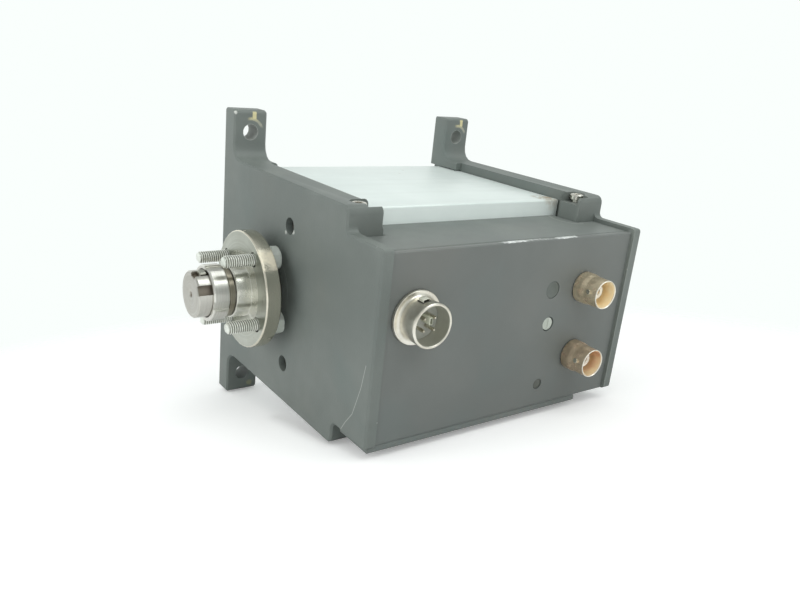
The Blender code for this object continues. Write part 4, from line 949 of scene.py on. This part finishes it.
# bayonet jack: thin barrel with a rolled rim, a low collar at the panel and a deep mouth
def jackBody(s):
    rim, wide, bore = s["reach"], s["radius"] - 0.00012, s["bore"]
    lip, collar, top, bottom = s["rimRadius"], s["collar"], s["collarTop"], rim - s["mouthDepth"]
    corners = [
        (0.0027, bottom), (bore, bottom), (bore, rim - 0.0003), (bore + 0.00018, rim),
        (lip - 0.0001, rim), (lip, rim - 0.0002), (lip, rim - 0.0010), (wide, rim - 0.0030),
        (wide, top + 0.0009), (collar, top - 0.0006), (collar, 0.0003), (0.0027, 0.0003),
    ]
    return swept(softened(corners, 0.00010, True), 96)


# the insulator and its contact reach nearer the mouth than in the CAD
def bringForward(points):
    points[points[:, 1] < points[:, 1].min() + 0.0035, 1] -= 0.0018


def addJack(level, z, s, outside, inside):
    def place(points):
        return onPanel(points, s["x"], z)

    name = level + "Jack"
    mesh = skin(name, place(jackBody(s)), True)
    addPiece(name + "Body", mesh, "stator", outside, [level + "_jack_body"])
    for number, angle in enumerate(s["lugAngles"]):
        turn = radians(angle)
        peg = swept(softened([(0, 0.0006), (0.0008, 0.0006), (0.0008, -0.0004), (0, -0.0004)], 0.0002), 24)
        out = peg[..., 2] + s["radius"] - 0.0001
        points = np.stack([out * np.cos(turn) - peg[..., 0] * np.sin(turn),
                           out * np.sin(turn) + peg[..., 0] * np.cos(turn),
                           peg[..., 1] + s["reach"] - s["lugFromRim"]], axis=-1)
        mesh = skin(name + "Lug", place(points))
        addPiece(f"{name}Lug{number + 1}", mesh, "stator", palePins)
    inner, outer = s["bore"] - 0.00018, s["bore"] - 0.00002
    top, bottom = s["reach"] - 0.0004, s["reach"] - s["mouthDepth"] + 0.0001
    liner = softened([(inner, top), (outer, top), (outer, bottom), (inner, bottom)], 0.00005, True)
    mesh = skin(name + "Liner", place(swept(liner, 64)), True)
    addPiece(name + "Liner", mesh, "stator", inside)
    dress(level + "_jack_insulator", paleInsulator, 0.0001, reshape=bringForward)
    dress(level + "_jack_contact", brightGold, 0.00008, reshape=bringForward)


# a strip of the housing's paint in the gap on each side of the panel
stripSettings = {"size": (0.0004, 0.0014, 0.0562), "x": 0.04775, "behind": 0.0008}
for side, sign in (("left", -1), ("right", 1)):
    strip = roundedBlock(stripSettings["size"], 0.0001)
    strip += (sign * stripSettings["x"], panelY + stripSettings["behind"], 0.0)
    addPiece(side + "Seal", skin(side + "Seal", strip), "stator", housingPaint)

for level, z in jackSettings["zs"].items():
    looks = (agedGold, upperMouth) if level == "upper" else (redGold, lowerMouth)
    addJack(level, z, jackSettings, *looks)


# the adjuster's slot is shallower than the CAD's, as if filled with sealing paint
def fillSlot(points):
    depth = points[:, 1] - points[:, 1].min()
    points[(depth > 0.0006) & (depth < 0.0010), 1] -= 0.0005


dress("zero_trimmer", trimmerPlastic, 0.00012, reshape=fillSlot)

capSettings = {
    "hole_plug": {"x": 0.0146, "z": 0.0109, "look": plugPaint, "rise": 0.00012},
    "power_lamp": {"x": 0.0147, "z": -0.0210, "look": lampLens, "rise": -0.00010},
}


# a round cap that fills its hole in the panel: the CAD cap's own radius, with a domed face
def addCap(node, s):
    points = np.array([v.co for v in nodes[node].data.vertices])
    centre = np.array([s["x"], 0, s["z"]])
    radius = np.abs((points - centre)[:, [0, 2]]).max() + 0.00022
    deep = points[:, 1].max() - panelY
    t = np.linspace(0, 1, 8)[:, None]
    dome = np.hstack([radius * 0.96 * t, s["rise"] - 0.00006 - 0.00014 * t ** 2])
    profile = np.vstack([dome, [(radius, s["rise"] - 0.00028), (radius, -deep), (0, -deep)]])
    mesh = skin(node + "_cap", onPanel(swept(profile, 48), s["x"], s["z"]))
    addPiece("cap_" + node, mesh, "stator", s["look"], [node])


for node, s in capSettings.items():
    addCap(node, s)
print("panel pieces are dressed")

innerLooks = {
    "circuit_board": boardLacquer,
    "rotor_coil_ring": coilResin,
    "stator_coil_ring": coilResin,
    "upper_jack_nut": nickelPlate,
    "lower_jack_nut": nickelPlate,
}
for number in range(1, 5):
    innerLooks[f"board_spacer_{number}"] = zincPlate
for side in ("left", "right"):
    innerLooks[side + "_bearing_outer"] = groundSteel
    innerLooks[side + "_bearing_inner"] = groundSteel
for node, look in innerLooks.items():
    mesh = nodes[node].data
    mesh.materials.clear()
    mesh.materials.append(look)
print("inner pieces have their finishes")
